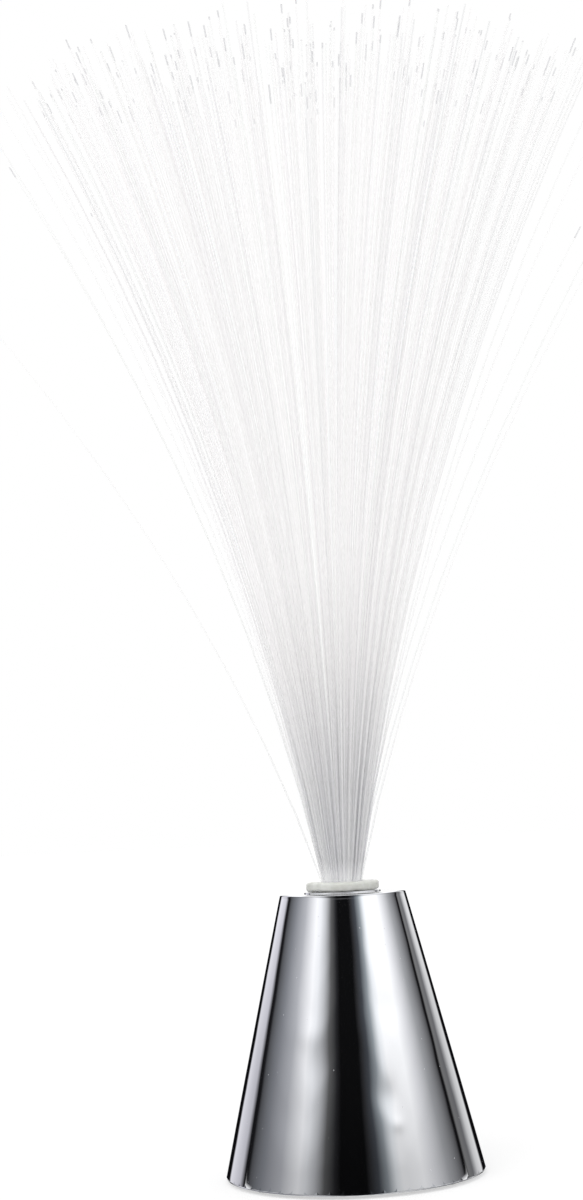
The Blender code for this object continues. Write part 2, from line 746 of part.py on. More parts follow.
def make_screws():
    """Pan-head screws: four up through the base plate and two up through the board."""

    def profile(length):
        return [
            (0, length),
            (SCREW_RADIUS, length),
            (SCREW_RADIUS, 0),
            (SCREW_HEAD_RADIUS, 0),
            (SCREW_HEAD_RADIUS, SCREW_HEAD_CHAMFER - SCREW_HEAD_HEIGHT),
            (SCREW_HEAD_RADIUS - SCREW_HEAD_CHAMFER, -SCREW_HEAD_HEIGHT),
            (0, -SCREW_HEAD_HEIGHT),
        ]

    for number, (x, y) in enumerate(boss_places(), 1):
        name = f"base_screw_{number}"
        shape = profile(BASE_SCREW_LENGTH)
        place = (x, y, BASE_SCREW_SEAT)
        turned(name, shape, steel, segments=SMALL_SEGMENTS, parent=lamp, place=place)
    for number, x in enumerate((-POST_OUT, POST_OUT), 1):
        name = f"board_screw_{number}"
        shape = profile(BOARD_SCREW_LENGTH)
        place = (x, 0, BOARD_SCREW_SEAT)
        turned(name, shape, steel, segments=SMALL_SEGMENTS, parent=lamp, place=place)


def make_feet():
    """Four rubber feet let into the base plate, which lift the cone off the table."""
    inner = FOOT_RADIUS - FOOT_CHAMFER
    profile = [(0, FOOT_HEIGHT), (FOOT_RADIUS, FOOT_HEIGHT), (FOOT_RADIUS, FOOT_CHAMFER), (inner, 0), (0, 0)]
    for number, (x, y) in enumerate(foot_places(), 1):
        turned(f"foot_{number}", profile, rubber, segments=SMALL_SEGMENTS, parent=lamp, place=(x, y, 0))


def make_base_plate():
    """The black base plate: a disc in the cone's mouth with the battery bay moulded on it."""
    edge_top = cone_bore(PLATE_TOP) - CLEARANCE
    edge_bottom = cone_bore(UNDERSIDE) - CLEARANCE
    profile = [(0, PLATE_TOP), (edge_top, PLATE_TOP), (edge_bottom, UNDERSIDE), (0, UNDERSIDE)]
    plate = turned("base_plate", profile, black_plastic, segments=CONE_SEGMENTS, parent=lamp)
    below = UNDERSIDE - OVERRUN
    outer_width = BAY_HALF_WIDTH + BAY_WALL
    outer_length = BAY_HALF_LENGTH + BAY_WALL
    outer_corner = BAY_CORNER_RADIUS + BAY_WALL

    def bay(bm):
        low = (-outer_width, -outer_length, PLATE_TOP - PLATE_THICKNESS / 2)
        box(bm, low, (outer_width, outer_length, BAY_TOP), outer_corner)

    def keepers(bm):
        half = SWITCH_LENGTH / 2 + CLEARANCE
        for side in (-1, 1):
            near = side * half
            far = side * (half + KEEPER_THICKNESS)
            low = (SWITCH_OUT - SWITCH_WIDTH / 2, min(near, far), PLATE_TOP - PLATE_THICKNESS / 2)
            box(bm, low, (SWITCH_OUT + SWITCH_WIDTH / 2, max(near, far), SWITCH_TOP))

    def cavity(bm):
        low = (-BAY_HALF_WIDTH, -BAY_HALF_LENGTH, below)
        box(bm, low, (BAY_HALF_WIDTH, BAY_HALF_LENGTH, BAY_CEILING), BAY_CORNER_RADIUS)

    def door_pocket(bm):
        low = (-DOOR_HALF_WIDTH - CLEARANCE, -DOOR_HALF_LENGTH - HINGE_GAP, below)
        high = (DOOR_HALF_WIDTH + CLEARANCE, DOOR_HALF_LENGTH + CLEARANCE, LEDGE)
        box(bm, low, high, BAY_CORNER_RADIUS + DOOR_LAP)

    def hinge_notch(bm):
        half = BARREL_HALF_WIDTH + CLEARANCE
        near = -DOOR_HALF_LENGTH - HINGE_GAP + CLEARANCE
        low = (-half, HINGE_Y - BARREL_RADIUS - CLEARANCE, below)
        box(bm, low, (half, near, PLATE_TOP + OVERRUN))

    def hinge_sockets(bm):
        half = BARREL_HALF_WIDTH + PIN_LENGTH + CLEARANCE
        rod(bm, (-half, HINGE_Y, HINGE_Z), (half, HINGE_Y, HINGE_Z), PIN_RADIUS + CLEARANCE)

    def thumb_dish(bm):
        near = DOOR_HALF_LENGTH - CLEARANCE
        far = DOOR_HALF_LENGTH + THUMB_DISH_LENGTH
        box(bm, (-LATCH_HALF_WIDTH, near, below), (LATCH_HALF_WIDTH, far, DOOR_TOP))

    def tab_slots(bm):
        half_width = TAB_WIDTH / 2 + CLEARANCE
        half_depth = CONTACT_THICKNESS / 2 + CLEARANCE
        for side in (-1, 1):
            x = side * CELL_PITCH
            y = side * CONTACT_Y
            low = (x - half_width, y - half_depth, BAY_CEILING - OVERRUN)
            box(bm, low, (x + half_width, y + half_depth, BAY_TOP + OVERRUN))

    def foot_wells(bm):
        for x, y in foot_places():
            rod(bm, (x, y, below), (x, y, FOOT_HEIGHT + CLEARANCE), FOOT_RADIUS + CLEARANCE)

    def head_wells(bm):
        for x, y in boss_places():
            rod(bm, (x, y, below), (x, y, HEAD_CEILING), HEAD_ROOM)

    def screw_holes(bm):
        for x, y in boss_places():
            rod(bm, (x, y, below), (x, y, PLATE_TOP + OVERRUN), SCREW_HOLE)

    def switch_dish(bm):
        low = (SWITCH_OUT - DISH_WIDTH / 2, -DISH_LENGTH / 2, below)
        high = (SWITCH_OUT + DISH_WIDTH / 2, DISH_LENGTH / 2, UNDERSIDE + DISH_DEPTH)
        box(bm, low, high, DISH_WIDTH / 2 - CLEARANCE)

    def switch_slot(bm):
        half_width = SLIDER_WIDTH / 2 + CLEARANCE
        half_length = (SLIDER_LENGTH + SWITCH_TRAVEL) / 2 + CLEARANCE
        low = (SWITCH_OUT - half_width, -half_length, below)
        box(bm, low, (SWITCH_OUT + half_width, half_length, PLATE_TOP + OVERRUN))

    join(plate, "plate_bay", bay)
    join(plate, "plate_keepers", keepers)
    cut(plate, "plate_cavity", cavity)
    cut(plate, "plate_door_pocket", door_pocket)
    cut(plate, "plate_hinge_notch", hinge_notch)
    cut(plate, "plate_hinge_sockets", hinge_sockets)
    cut(plate, "plate_thumb_dish", thumb_dish)
    cut(plate, "plate_tab_slots", tab_slots)
    cut(plate, "plate_foot_wells", foot_wells)
    cut(plate, "plate_head_wells", head_wells)
    cut(plate, "plate_screw_holes", screw_holes)
    cut(plate, "plate_switch_dish", switch_dish)
    cut(plate, "plate_switch_slot", switch_slot)


def make_door():
    """The battery door, on two stub pins at one end, with a sprung thumb latch at the other."""
    rise = -HINGE_RISE
    near = HINGE_SETBACK
    far = HINGE_SETBACK + 2 * DOOR_HALF_LENGTH
    top = rise + DOOR_THICKNESS

    def panel(bm):
        corner = BAY_CORNER_RADIUS + DOOR_LAP
        box(bm, (-DOOR_HALF_WIDTH, near, rise), (DOOR_HALF_WIDTH, far, top), corner)

    def barrel(bm):
        rod(bm, (-BARREL_HALF_WIDTH, 0, 0), (BARREL_HALF_WIDTH, 0, 0), BARREL_RADIUS)

    def neck(bm):
        half = BARREL_HALF_WIDTH - CLEARANCE
        bottom = rise + DOOR_NECK_STEP
        box(bm, (-half, 0, bottom), (half, near + DOOR_LAP, bottom + DOOR_NECK_THICKNESS))

    def pins(bm):
        half = BARREL_HALF_WIDTH + PIN_LENGTH
        rod(bm, (-half, 0, 0), (half, 0, 0), PIN_RADIUS, SMALL_SEGMENTS // 2)

    def ridge(bm):
        half = LATCH_HALF_WIDTH - LATCH_RIDGE_MARGIN
        outer = far - LATCH_RIDGE_INSET
        low = (-half, outer - LATCH_RIDGE_WIDTH, rise - LATCH_RIDGE_HEIGHT)
        box(bm, low, (half, outer, rise + DOOR_THICKNESS / 2))

    def slits(bm):
        for side in (-1, 1):
            inner = side * LATCH_HALF_WIDTH
            outer = side * (LATCH_HALF_WIDTH + LATCH_SLIT)
            low = (min(inner, outer), far - LATCH_LENGTH, rise - OVERRUN)
            box(bm, low, (max(inner, outer), far + OVERRUN, top + OVERRUN))

    door = add_part("battery_door", mesh_from("battery_door", panel), black_plastic, door_hinge)
    join(door, "door_barrel", barrel, parent=door_hinge)
    join(door, "door_neck", neck, parent=door_hinge)
    join(door, "door_pins", pins, parent=door_hinge)
    join(door, "door_ridge", ridge, parent=door_hinge)
    cut(door, "door_slits", slits, parent=door_hinge)


def cell_places():
    """Each cell's place along X and which way its raised end points along Y."""
    middle = (CELL_COUNT - 1) / 2
    return [((i - middle) * CELL_PITCH, 1 if i % 2 == 0 else -1) for i in range(CELL_COUNT)]


def make_cells():
    """Three cells side by side, turned end for end, on their springs and plates."""
    can_length = CELL_LENGTH - CELL_NUB_HEIGHT
    edge = CELL_EDGE_RADIUS
    profile = [
        (0, CELL_LENGTH),
        (CELL_NUB_RADIUS, CELL_LENGTH),
        (CELL_NUB_RADIUS, can_length),
        (CELL_RADIUS - edge, can_length),
        (CELL_RADIUS, can_length - edge),
        (CELL_RADIUS, edge),
        (CELL_RADIUS - edge, 0),
        (0, 0),
    ]
    raised_end = BAY_HALF_LENGTH - CONTACT_ROOM
    for number, (x, way) in enumerate(cell_places(), 1):
        flat_end = raised_end - CELL_LENGTH
        turned(
            f"battery_cell_{number}",
            profile,
            cell_jacket,
            segments=SMALL_SEGMENTS + ARC_STEPS,
            parent=lamp,
            place=(x, way * flat_end, CELL_LEVEL),
            turn=(-way * math.pi / 2, 0, 0),
        )
        make_spring(number, x, way, flat_end)


def make_spring(number, x, way, flat_end):
    """A conical contact spring, as one unbroken wire from its plate to the cell's flat end."""
    wire = SPRING_WIRE_RADIUS
    reach = SPRING_ROOM - 2 * wire
    count = round(SPRING_TURNS * SPRING_POINTS_PER_TURN)
    points = []
    for i in range(count + 1):
        share = i / count
        turn = math.tau * SPRING_TURNS * share
        radius = SPRING_TIP_RADIUS + share * (SPRING_FOOT_RADIUS - SPRING_TIP_RADIUS)
        points.append(Vector((radius * math.cos(turn), -share * reach, radius * math.sin(turn))))
    gap = min(
        (points[i] - points[j]).length - 2 * wire
        for i in range(len(points))
        for j in range(i + SPRING_POINTS_PER_TURN // 2, len(points))
    )
    print(f"spring {number} least gap to itself {gap * 1000:.2f} mm")
    curve = path_curve(f"battery_spring_{number}", [points], wire, 1)
    place = (x, way * (flat_end - CLEARANCE - wire), CELL_LEVEL)
    turn = (0, 0, 0 if way > 0 else math.pi)
    add_part(f"battery_spring_{number}", curve, steel, lamp, place, turn)


def make_contacts():
    """Four plated strips: two terminals with solder tabs and two bridges between cells."""
    bottom = LEDGE
    top = CELL_LEVEL + CELL_RADIUS - CLEARANCE
    half = CONTACT_WIDTH / 2
    left, middle, right = (x for x, way in cell_places())
    strips = {
        "contact_minus": (left - half, left + half, -1, left),
        "contact_bridge_1": (left - half, middle + half, 1, None),
        "contact_bridge_2": (middle - half, right + half, -1, None),
        "contact_plus": (right - half, right + half, 1, right),
    }
    thin = CONTACT_THICKNESS / 2
    for name, (low_x, high_x, end, tab_x) in strips.items():
        y = end * CONTACT_Y

        def strip(bm):
            box(bm, (low_x, -thin, bottom), (high_x, thin, top))

        contact = add_part(name, mesh_from(name, strip), steel, lamp, (0, y, 0))
        if tab_x is None:
            continue

        def tab(bm):
            low = (tab_x - TAB_WIDTH / 2, -thin, top - CELL_RADIUS)
            box(bm, low, (tab_x + TAB_WIDTH / 2, thin, TAB_TOP))

        join(contact, name + "_tab", tab, place=(0, y, 0))


def make_switch():
    """The slide switch: a can on the base plate with three lugs, and its slider below."""
    half_width = SWITCH_WIDTH / 2
    half_length = SWITCH_LENGTH / 2

    def can(bm):
        low = (-half_width, -half_length, SWITCH_BOTTOM)
        box(bm, low, (half_width, half_length, SWITCH_TOP))

    def lugs(bm):
        for step in (-1, 0, 1):
            y = step * LUG_PITCH
            low = (-LUG_THICKNESS / 2, y - LUG_WIDTH / 2, SWITCH_TOP - SWITCH_HOLLOW_WALL / 2)
            box(bm, low, (LUG_THICKNESS / 2, y + LUG_WIDTH / 2, SWITCH_TOP + LUG_HEIGHT))

    def hollow(bm):
        wall = SWITCH_HOLLOW_WALL
        low = (-half_width + wall, -half_length + wall, SWITCH_BOTTOM - OVERRUN)
        high = (half_width - wall, half_length - wall, SHOE_TOP + CLEARANCE)
        box(bm, low, high)

    place = (SWITCH_OUT, 0, 0)
    switch = add_part("switch_body", mesh_from("switch_body", can), steel, lamp, place)
    join(switch, "switch_lugs", lugs, place=place)
    cut(switch, "switch_hollow", hollow, place=place)

    def stem(bm):
        low = (-SLIDER_WIDTH / 2, -SLIDER_LENGTH / 2, SLIDER_TABLE_GAP)
        box(bm, low, (SLIDER_WIDTH / 2, SLIDER_LENGTH / 2, SHOE_TOP))

    slider = add_part("switch_slider", mesh_from("switch_slider", stem), pale_plastic, slider_rest)

    def shoe(bm):
        shoe_half = half_length - SWITCH_HOLLOW_WALL - SWITCH_TRAVEL / 2 - CLEARANCE
        low = (-SLIDER_WIDTH / 2, -shoe_half, SHOE_BOTTOM)
        box(bm, low, (SLIDER_WIDTH / 2, shoe_half, SHOE_TOP))

    join(slider, "slider_shoe", shoe, parent=slider_rest)


def wire_run(start, start_way, end, end_way):
    """A soft bend between two solder joints, leaving each one straight along Z."""
    start = Vector(start)
    end = Vector(end)
    near = start + Vector((0, 0, start_way * WIRE_RISE))
    far = end + Vector((0, 0, end_way * WIRE_RISE))
    points = []
    for i in range(WIRE_POINTS):
        t = i / (WIRE_POINTS - 1)
        point = (1 - t) ** 3 * start + 3 * (1 - t) ** 2 * t * near
        points.append(point + 3 * (1 - t) * t ** 2 * far + t ** 3 * end)
    return points


def make_wires():
    """The wires inside the cone: cells to board, cells to switch and switch to board."""
    tab_level = TAB_TOP + CLEARANCE
    lug_level = SWITCH_TOP + LUG_HEIGHT + CLEARANCE
    pad_level = BOARD_BOTTOM - CLEARANCE
    plus_tab = (CELL_PITCH, CONTACT_Y, tab_level)
    minus_tab = (-CELL_PITCH, -CONTACT_Y, tab_level)
    outer_lug = (SWITCH_OUT, -LUG_PITCH, lug_level)
    middle_lug = (SWITCH_OUT, 0, lug_level)
    routes = {
        "wire_red": (red_wire, wire_run(plus_tab, 1, (PAD_OUT, PAD_ASIDE, pad_level), -1)),
        "wire_black": (black_wire, wire_run(minus_tab, 1, outer_lug, 1)),
        "wire_white": (white_wire, wire_run(middle_lug, 1, (PAD_OUT, -PAD_ASIDE, pad_level), -1)),
    }
    for name, (look, points) in routes.items():
        add_part(name, path_curve(name, [points], WIRE_RADIUS, 2), look, lamp)


clear_scene()
parts = new_collection("fibre_optic_lamp")
tools = new_collection("fibre_optic_lamp_cutters")

chrome = material("plated ABS", "#d8dade", 0.05, 1.0)
ivory = material("ivory polypropylene", "#dfe0db", 0.45)
acrylic = material("acrylic fibre", "#f4f5f6", 0.15, alpha=0.35)
potting = material("clear potting", "#e3e4e2", 0.3)
white_plastic = material("white ABS", "#eeeeea", 0.5)
pale_plastic = material("grey acetal", "#c9c9c6", 0.4)
black_plastic = material("black ABS", "#1b1b1d", 0.5)
green_board = material("fibreglass board", "#1f5a37", 0.45)
steel = material("nickel-plated steel", "#b9bab8", 0.3, 1.0)
rubber = material("black rubber", "#202022", 0.85)
cell_jacket = material("cell jacket", "#6d7276", 0.4)
red_lens = material("red lens", "#d23a33", 0.1)
green_lens = material("green lens", "#39b45a", 0.1)
blue_lens = material("blue lens", "#3560d6", 0.1)
red_wire = material("red wire", "#b3231f", 0.5)
black_wire = material("black wire", "#18181a", 0.5)
white_wire = material("white wire", "#e4e4e0", 0.5)

lamp = add_empty("lamp")
turning_head = add_empty("turning_head", (0, 0, COLLAR_SEAT), lamp)
lifting_head = add_empty("lifting_head", (0, 0, SLICE_BOTTOM - COLLAR_SEAT), turning_head)
door_hinge = add_empty("door_hinge", (0, HINGE_Y, HINGE_Z), lamp)
slider_rest = add_empty("slider_rest", (SWITCH_OUT, -SWITCH_TRAVEL / 2, 0), lamp)

make_cone()
make_bush()
make_bundle()
make_spray()
make_light_cup()
make_board()
make_leds()
make_screws()
make_feet()
make_base_plate()
make_door()
make_cells()
make_contacts()
make_switch()
make_wires()
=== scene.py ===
import math
import random

import bpy
import numpy as np
from mathutils import Matrix, Vector


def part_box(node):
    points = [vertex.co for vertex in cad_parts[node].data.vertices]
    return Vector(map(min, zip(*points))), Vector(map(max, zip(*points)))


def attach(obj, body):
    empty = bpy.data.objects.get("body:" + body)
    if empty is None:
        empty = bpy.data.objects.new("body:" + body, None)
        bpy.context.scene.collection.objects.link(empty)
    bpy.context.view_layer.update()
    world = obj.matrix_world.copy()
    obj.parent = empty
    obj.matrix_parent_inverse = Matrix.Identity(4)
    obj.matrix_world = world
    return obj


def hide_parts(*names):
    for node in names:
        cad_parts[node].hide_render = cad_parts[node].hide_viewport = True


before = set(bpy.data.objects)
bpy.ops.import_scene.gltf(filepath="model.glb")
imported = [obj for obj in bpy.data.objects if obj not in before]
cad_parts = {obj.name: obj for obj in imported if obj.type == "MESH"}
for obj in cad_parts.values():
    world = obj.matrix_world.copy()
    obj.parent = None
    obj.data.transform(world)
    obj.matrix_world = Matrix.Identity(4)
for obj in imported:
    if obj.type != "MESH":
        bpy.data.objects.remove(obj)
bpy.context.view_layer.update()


# Studio: a white table that runs into a white backdrop, even light from all round and a
# soft key light. The plating mirrors what stands about the lamp in the studio: a dark
# card behind the camera, a soft box to each side of it, and narrow cards at the back.
EYE = (0.0, -0.5328, 0.0942)
CAMERA_YAW = 0.0199
CAMERA_PITCH = 0.1256
CAMERA_ROLL = -0.046
LENS_MM = 55.81
SENSOR_MM = 36
TABLE_HALF = 20.0
TABLE_GLOW = 0.55
EVEN_LIGHT = 0.86
KEY_STRENGTH = 0.60
KEY_TURN = (math.radians(38), 0, math.radians(-35))
KEY_SOFTNESS = math.radians(40)
# Azimuth in degrees from the camera and the grey that the plating shows there
LEFT_WALL = [
    (-180, "#ffffff"), (-170, "#ffffff"), (-166, "#0b0b0d"), (-150, "#0b0b0d"), (-146, "#e9e8ee"),
    (-124, "#c4c3ca"), (-117, "#141416"), (-112, "#1a1a1c"), (-108, "#4e4f52"), (-92, "#7a7c81"),
    (-70, "#adaeb2"), (-48, "#f4f4f5"), (-40, "#e8e9eb"), (-31, "#bcbdbf"), (-22, "#5c5c5c"),
    (-14, "#262628"), (-10, "#0d0d0e"), (0, "#0d0d0e"),
]
RIGHT_WALL = [
    (0, "#0d0d0e"), (9, "#0d0d0e"), (13, "#2b2b2d"), (20, "#42454a"), (28, "#8e9498"),
    (36, "#e9ecee"), (42, "#ffffff"), (62, "#ffffff"), (74, "#dcdcde"), (90, "#9c9d9f"),
    (108, "#555557"), (111, "#141415"), (114, "#141415"), (117, "#757575"), (125, "#6b6b6d"),
    (135, "#cfcfcf"), (146, "#e6e6e6"), (150, "#0b0b0d"), (166, "#0b0b0d"), (170, "#ffffff"),
]
MIRROR_GAIN = 1.35
# Heights of mirrored directions, as the sine of their elevation: how much lower the cone's
# sides mirror than its front, and the ends of that drop from the cone's top to its foot
SIDE_FALL = 0.134
TOP_DROP = -0.29
FOOT_DROP = -0.157
CARD_LEAN = 0.35
FADE_POWER = 1.6
FADE_SIDES = (-0.2, 0.65)
FADE_SHARES = (0.25, 0.5)
# The table's white edge about the horizon, the lamp's shade below it, the front of the cards
# at the back and the upper edge of all the cards
TABLE_EDGE = (0.07, 0.02)
SHADE_EDGE = (-0.35, -0.12)
BACK_FRONT = -0.42
CARD_TOP = (0.45, 0.53)
# Share of the way from the horizon to straight up, and the grey there
OVERHEAD = [
    (0.45, "#c8c8cb"), (0.52, "#ffffff"), (0.74, "#ffffff"), (0.80, "#141416"), (1.0, "#101012"),
]
WHITE = (1.0, 1.0, 1.0, 1.0)


def hex_colour(text):
    """An sRGB hex colour as linear red, green, blue and alpha."""
    values = np.array([int(text[place:place + 2], 16) for place in (1, 3, 5)]) / 255
    linear = np.where(values <= 0.04045, values / 12.92, ((values + 0.055) / 1.055) ** 2.4)
    return (*linear.tolist(), 1.0)


def add_node(tree, kind, inputs=(), stops=(), **settings):
    """Adds a node, sets its properties and ramp, and links or sets its inputs."""
    node = tree.nodes.new(kind)
    for name, value in settings.items():
        setattr(node, name, value)
    for place, value in dict(inputs).items():
        if isinstance(value, bpy.types.NodeSocket):
            tree.links.new(value, node.inputs[place])
        else:
            node.inputs[place].default_value = value
    for number, (position, colour) in enumerate(stops):
        elements = node.color_ramp.elements
        stop = elements[number] if number < 2 else elements.new(1.0)
        stop.position = position
        stop.color = hex_colour(colour) if isinstance(colour, str) else (colour,) * 3 + (1.0,)
    return node


def figure(tree, operation, *values):
    """The result of a math node for values or sockets."""
    return add_node(tree, "ShaderNodeMath", enumerate(values), operation=operation).outputs[0]


def ranged(tree, value, start, end, low=0.0, high=1.0, **settings):
    """A value taken from one range to another and held inside it."""
    inputs = {"Value": value, "From Min": start, "From Max": end, "To Min": low, "To Max": high}
    return add_node(tree, "ShaderNodeMapRange", inputs, **settings).outputs["Result"]


def ramp(tree, value, stops):
    """A colour or grey read off a ramp of stops."""
    return add_node(tree, "ShaderNodeValToRGB", {"Fac": value}, stops).outputs["Color"]


def mixed(tree, share, first, second):
    """Two colours mixed by a share."""
    inputs = {0: share, 6: first, 7: second}
    return add_node(tree, "ShaderNodeMix", inputs, data_type="RGBA").outputs[2]


def build_studio():
    """The world: plain white to the camera, even to matt things, a studio to mirrors."""
    world = bpy.data.worlds.new("studio")
    bpy.context.scene.world = world
    world.use_nodes = True
    tree = world.node_tree
    tree.nodes.clear()
    way = add_node(tree, "ShaderNodeTexCoord").outputs["Generated"]
    split = add_node(tree, "ShaderNodeSeparateXYZ", {"Vector": way}).outputs
    aside = split["X"]
    height = split["Z"]
    front = figure(tree, "MULTIPLY", split["Y"], -1.0)
    turn = figure(tree, "ARCTAN2", aside, front)
    # How far down the cone a direction is mirrored
    drop = figure(tree, "SUBTRACT", figure(tree, "MULTIPLY", front, SIDE_FALL), height)
    down = ranged(tree, drop, TOP_DROP, FOOT_DROP)
    # The dark card's left edge leans outwards, so lower down that soft box stands further out
    ahead = figure(tree, "MAXIMUM", front, 0.0)
    facing = figure(tree, "MULTIPLY", ahead, ahead)
    left = figure(tree, "MULTIPLY", figure(tree, "MINIMUM", aside, 0.0), facing)
    lean = figure(tree, "MULTIPLY", down, CARD_LEAN)
    turn = figure(tree, "SUBTRACT", turn, figure(tree, "MULTIPLY", left, lean))
    walls = []
    for wall in (LEFT_WALL, RIGHT_WALL):
        first = wall[0][0]
        share = ranged(tree, turn, math.radians(first), math.radians(first + 180))
        walls.append(ramp(tree, share, [((degrees - first) / 180, grey) for degrees, grey in wall]))
    round_wall = mixed(tree, figure(tree, "GREATER_THAN", turn, 0.0), *walls)
    # The soft boxes fade towards their lower edges
    most_dim = ranged(tree, front, *FADE_SIDES, *FADE_SHARES)
    dim = figure(tree, "MULTIPLY", figure(tree, "POWER", down, FADE_POWER), most_dim)
    lit_wall = add_node(
        tree, "ShaderNodeVectorMath", {0: round_wall, "Scale": figure(tree, "SUBTRACT", 1.0, dim)},
        operation="SCALE",
    ).outputs[0]
    # The white table shows just below and above the horizon, but for the cards at the back,
    # and further down the lamp mirrors its own shade on the table
    near_table = figure(
        tree, "MULTIPLY", ranged(tree, height, *TABLE_EDGE), ranged(tree, height, *SHADE_EDGE)
    )
    not_back = figure(tree, "GREATER_THAN", front, BACK_FRONT)
    table_share = figure(tree, "MULTIPLY", near_table, not_back)
    with_table = mixed(tree, table_share, lit_wall, WHITE)
    # A white flat hangs over the cards, with an unlit gap straight above the lamp
    up = ranged(tree, height, *CARD_TOP, interpolation_type="SMOOTHSTEP")
    mirrored = mixed(tree, up, with_table, ramp(tree, height, OVERHEAD))
    strong = add_node(
        tree, "ShaderNodeVectorMath", {0: mirrored, "Scale": MIRROR_GAIN}, operation="SCALE"
    ).outputs[0]
    ray = add_node(tree, "ShaderNodeLightPath").outputs
    even = (EVEN_LIGHT, EVEN_LIGHT, EVEN_LIGHT, 1.0)
    lit = mixed(tree, ray["Is Glossy Ray"], even, strong)
    seen = figure(tree, "MAXIMUM", ray["Is Camera Ray"], ray["Is Transmission Ray"])
    sky = add_node(tree, "ShaderNodeBackground", {"Color": mixed(tree, seen, lit, WHITE)}).outputs[0]
    add_node(tree, "ShaderNodeOutputWorld", {"Surface": sky})


def build_table():
    """The table top, white to the camera, and a little less bright to what stands on it."""
    finish = bpy.data.materials.new("white table laminate")
    finish.use_nodes = True
    tree = finish.node_tree
    shader = tree.nodes["Principled BSDF"]
    seen = add_node(tree, "ShaderNodeLightPath").outputs["Is Camera Ray"]
    shade = mixed(tree, seen, hex_colour("#e2e2e2"), hex_colour("#bcbcbc"))
    tree.links.new(shade, shader.inputs["Base Color"])
    # Lit from under as well, so that to the camera the shadow is only a soft one
    glow = figure(tree, "MULTIPLY", seen, TABLE_GLOW)
    tree.links.new(glow, shader.inputs["Emission Strength"])
    shader.inputs["Emission Color"].default_value = WHITE
    shader.inputs["Roughness"].default_value = 1.0
    shader.inputs["Specular IOR Level"].default_value = 0.0
    corners = [(x * TABLE_HALF, y * TABLE_HALF, 0) for x, y in ((-1, -1), (1, -1), (1, 1), (-1, 1))]
    mesh = bpy.data.meshes.new("table")
    mesh.from_pydata(corners, [], [(0, 1, 2, 3)])
    mesh.materials.append(finish)
    table = bpy.data.objects.new("table", mesh)
    bpy.context.scene.collection.objects.link(table)
    table.visible_glossy = False


lens = bpy.data.cameras.new("camera")
lens.lens = LENS_MM
lens.sensor_width = SENSOR_MM
lens.clip_start = 0.01
camera = bpy.data.objects.new("camera", lens)
camera.matrix_world = (
    Matrix.Translation(EYE)
    @ Matrix.Rotation(CAMERA_YAW, 4, "Z")
    @ Matrix.Rotation(math.pi / 2 + CAMERA_PITCH, 4, "X")
    @ Matrix.Rotation(CAMERA_ROLL, 4, "Z")
)
bpy.context.scene.collection.objects.link(camera)
bpy.context.scene.camera = camera
bpy.context.scene.view_settings.view_transform = "Standard"
bpy.context.scene.cycles.transparent_max_bounces = 96

build_studio()
build_table()
key = bpy.data.lights.new("key", "SUN")
key.energy = KEY_STRENGTH
key.angle = KEY_SOFTNESS
key_light = bpy.data.objects.new("key", key)
key_light.rotation_euler = KEY_TURN
key_light.visible_glossy = False
bpy.context.scene.collection.objects.link(key_light)


# Base plate and battery door: black ABS mouldings with a fine spark-eroded grain, which
# leaves them matt with a slight sheen. The plate is screwed into the cone's mouth and the
# door hangs on two stub pins.
GRAIN_MM = 0.35


def new_material(name, colour, roughness, metallic=0.0):
    """A Principled material, with its node tree and shader."""
    made = bpy.data.materials.new(name)
    made.use_nodes = True
    shader = made.node_tree.nodes["Principled BSDF"]
    shader.inputs["Base Color"].default_value = hex_colour(colour)
    shader.inputs["Roughness"].default_value = roughness
    shader.inputs["Metallic"].default_value = metallic
    return made, made.node_tree, shader


def add_grain(tree, shader, size_mm, strength, depth_mm=0.02):
    """A fine bump of noise in object coordinates, its size in millimetres."""
    place = add_node(tree, "ShaderNodeTexCoord").outputs["Object"]
    noise = add_node(
        tree, "ShaderNodeTexNoise", {"Vector": place, "Scale": 1000 / size_mm, "Detail": 3.0}
    ).outputs["Fac"]
    bump = add_node(
        tree, "ShaderNodeBump",
        {"Height": noise, "Strength": strength, "Distance": depth_mm / 1000},
    ).outputs["Normal"]
    tree.links.new(bump, shader.inputs["Normal"])


def mottle(tree, shader, dark, pale, size_mm):
    """Varies a colour between two shades with soft noise of a size in millimetres."""
    place = add_node(tree, "ShaderNodeTexCoord").outputs["Object"]
    noise = add_node(
        tree, "ShaderNodeTexNoise", {"Vector": place, "Scale": 1000 / size_mm, "Detail": 4.0}
    ).outputs["Fac"]
    tree.links.new(ramp(tree, noise, [(0.35, dark), (0.65, pale)]), shader.inputs["Base Color"])


def dress(nodes, material):
    """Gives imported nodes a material."""
    for name in nodes:
        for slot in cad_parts[name].material_slots:
            slot.material = material


black_abs, tree, shader = new_material("black ABS, spark-eroded mould", "#1d1d1f", 0.46)
add_grain(tree, shader, GRAIN_MM, 0.5)
mottle(tree, shader, "#19191b", "#232325", 6)
dress(["base_plate", "battery_door"], black_abs)


# Feet: four round pads of black rubber let into the base plate, dull and slightly dusty
# where they stand on the table.
foot_rubber, tree, shader = new_material("moulded rubber", "#242426", 0.85)
add_grain(tree, shader, 0.25, 0.4)
mottle(tree, shader, "#1f1f21", "#333335", 1.5)
dress(["foot_1", "foot_2", "foot_3", "foot_4"], foot_rubber)


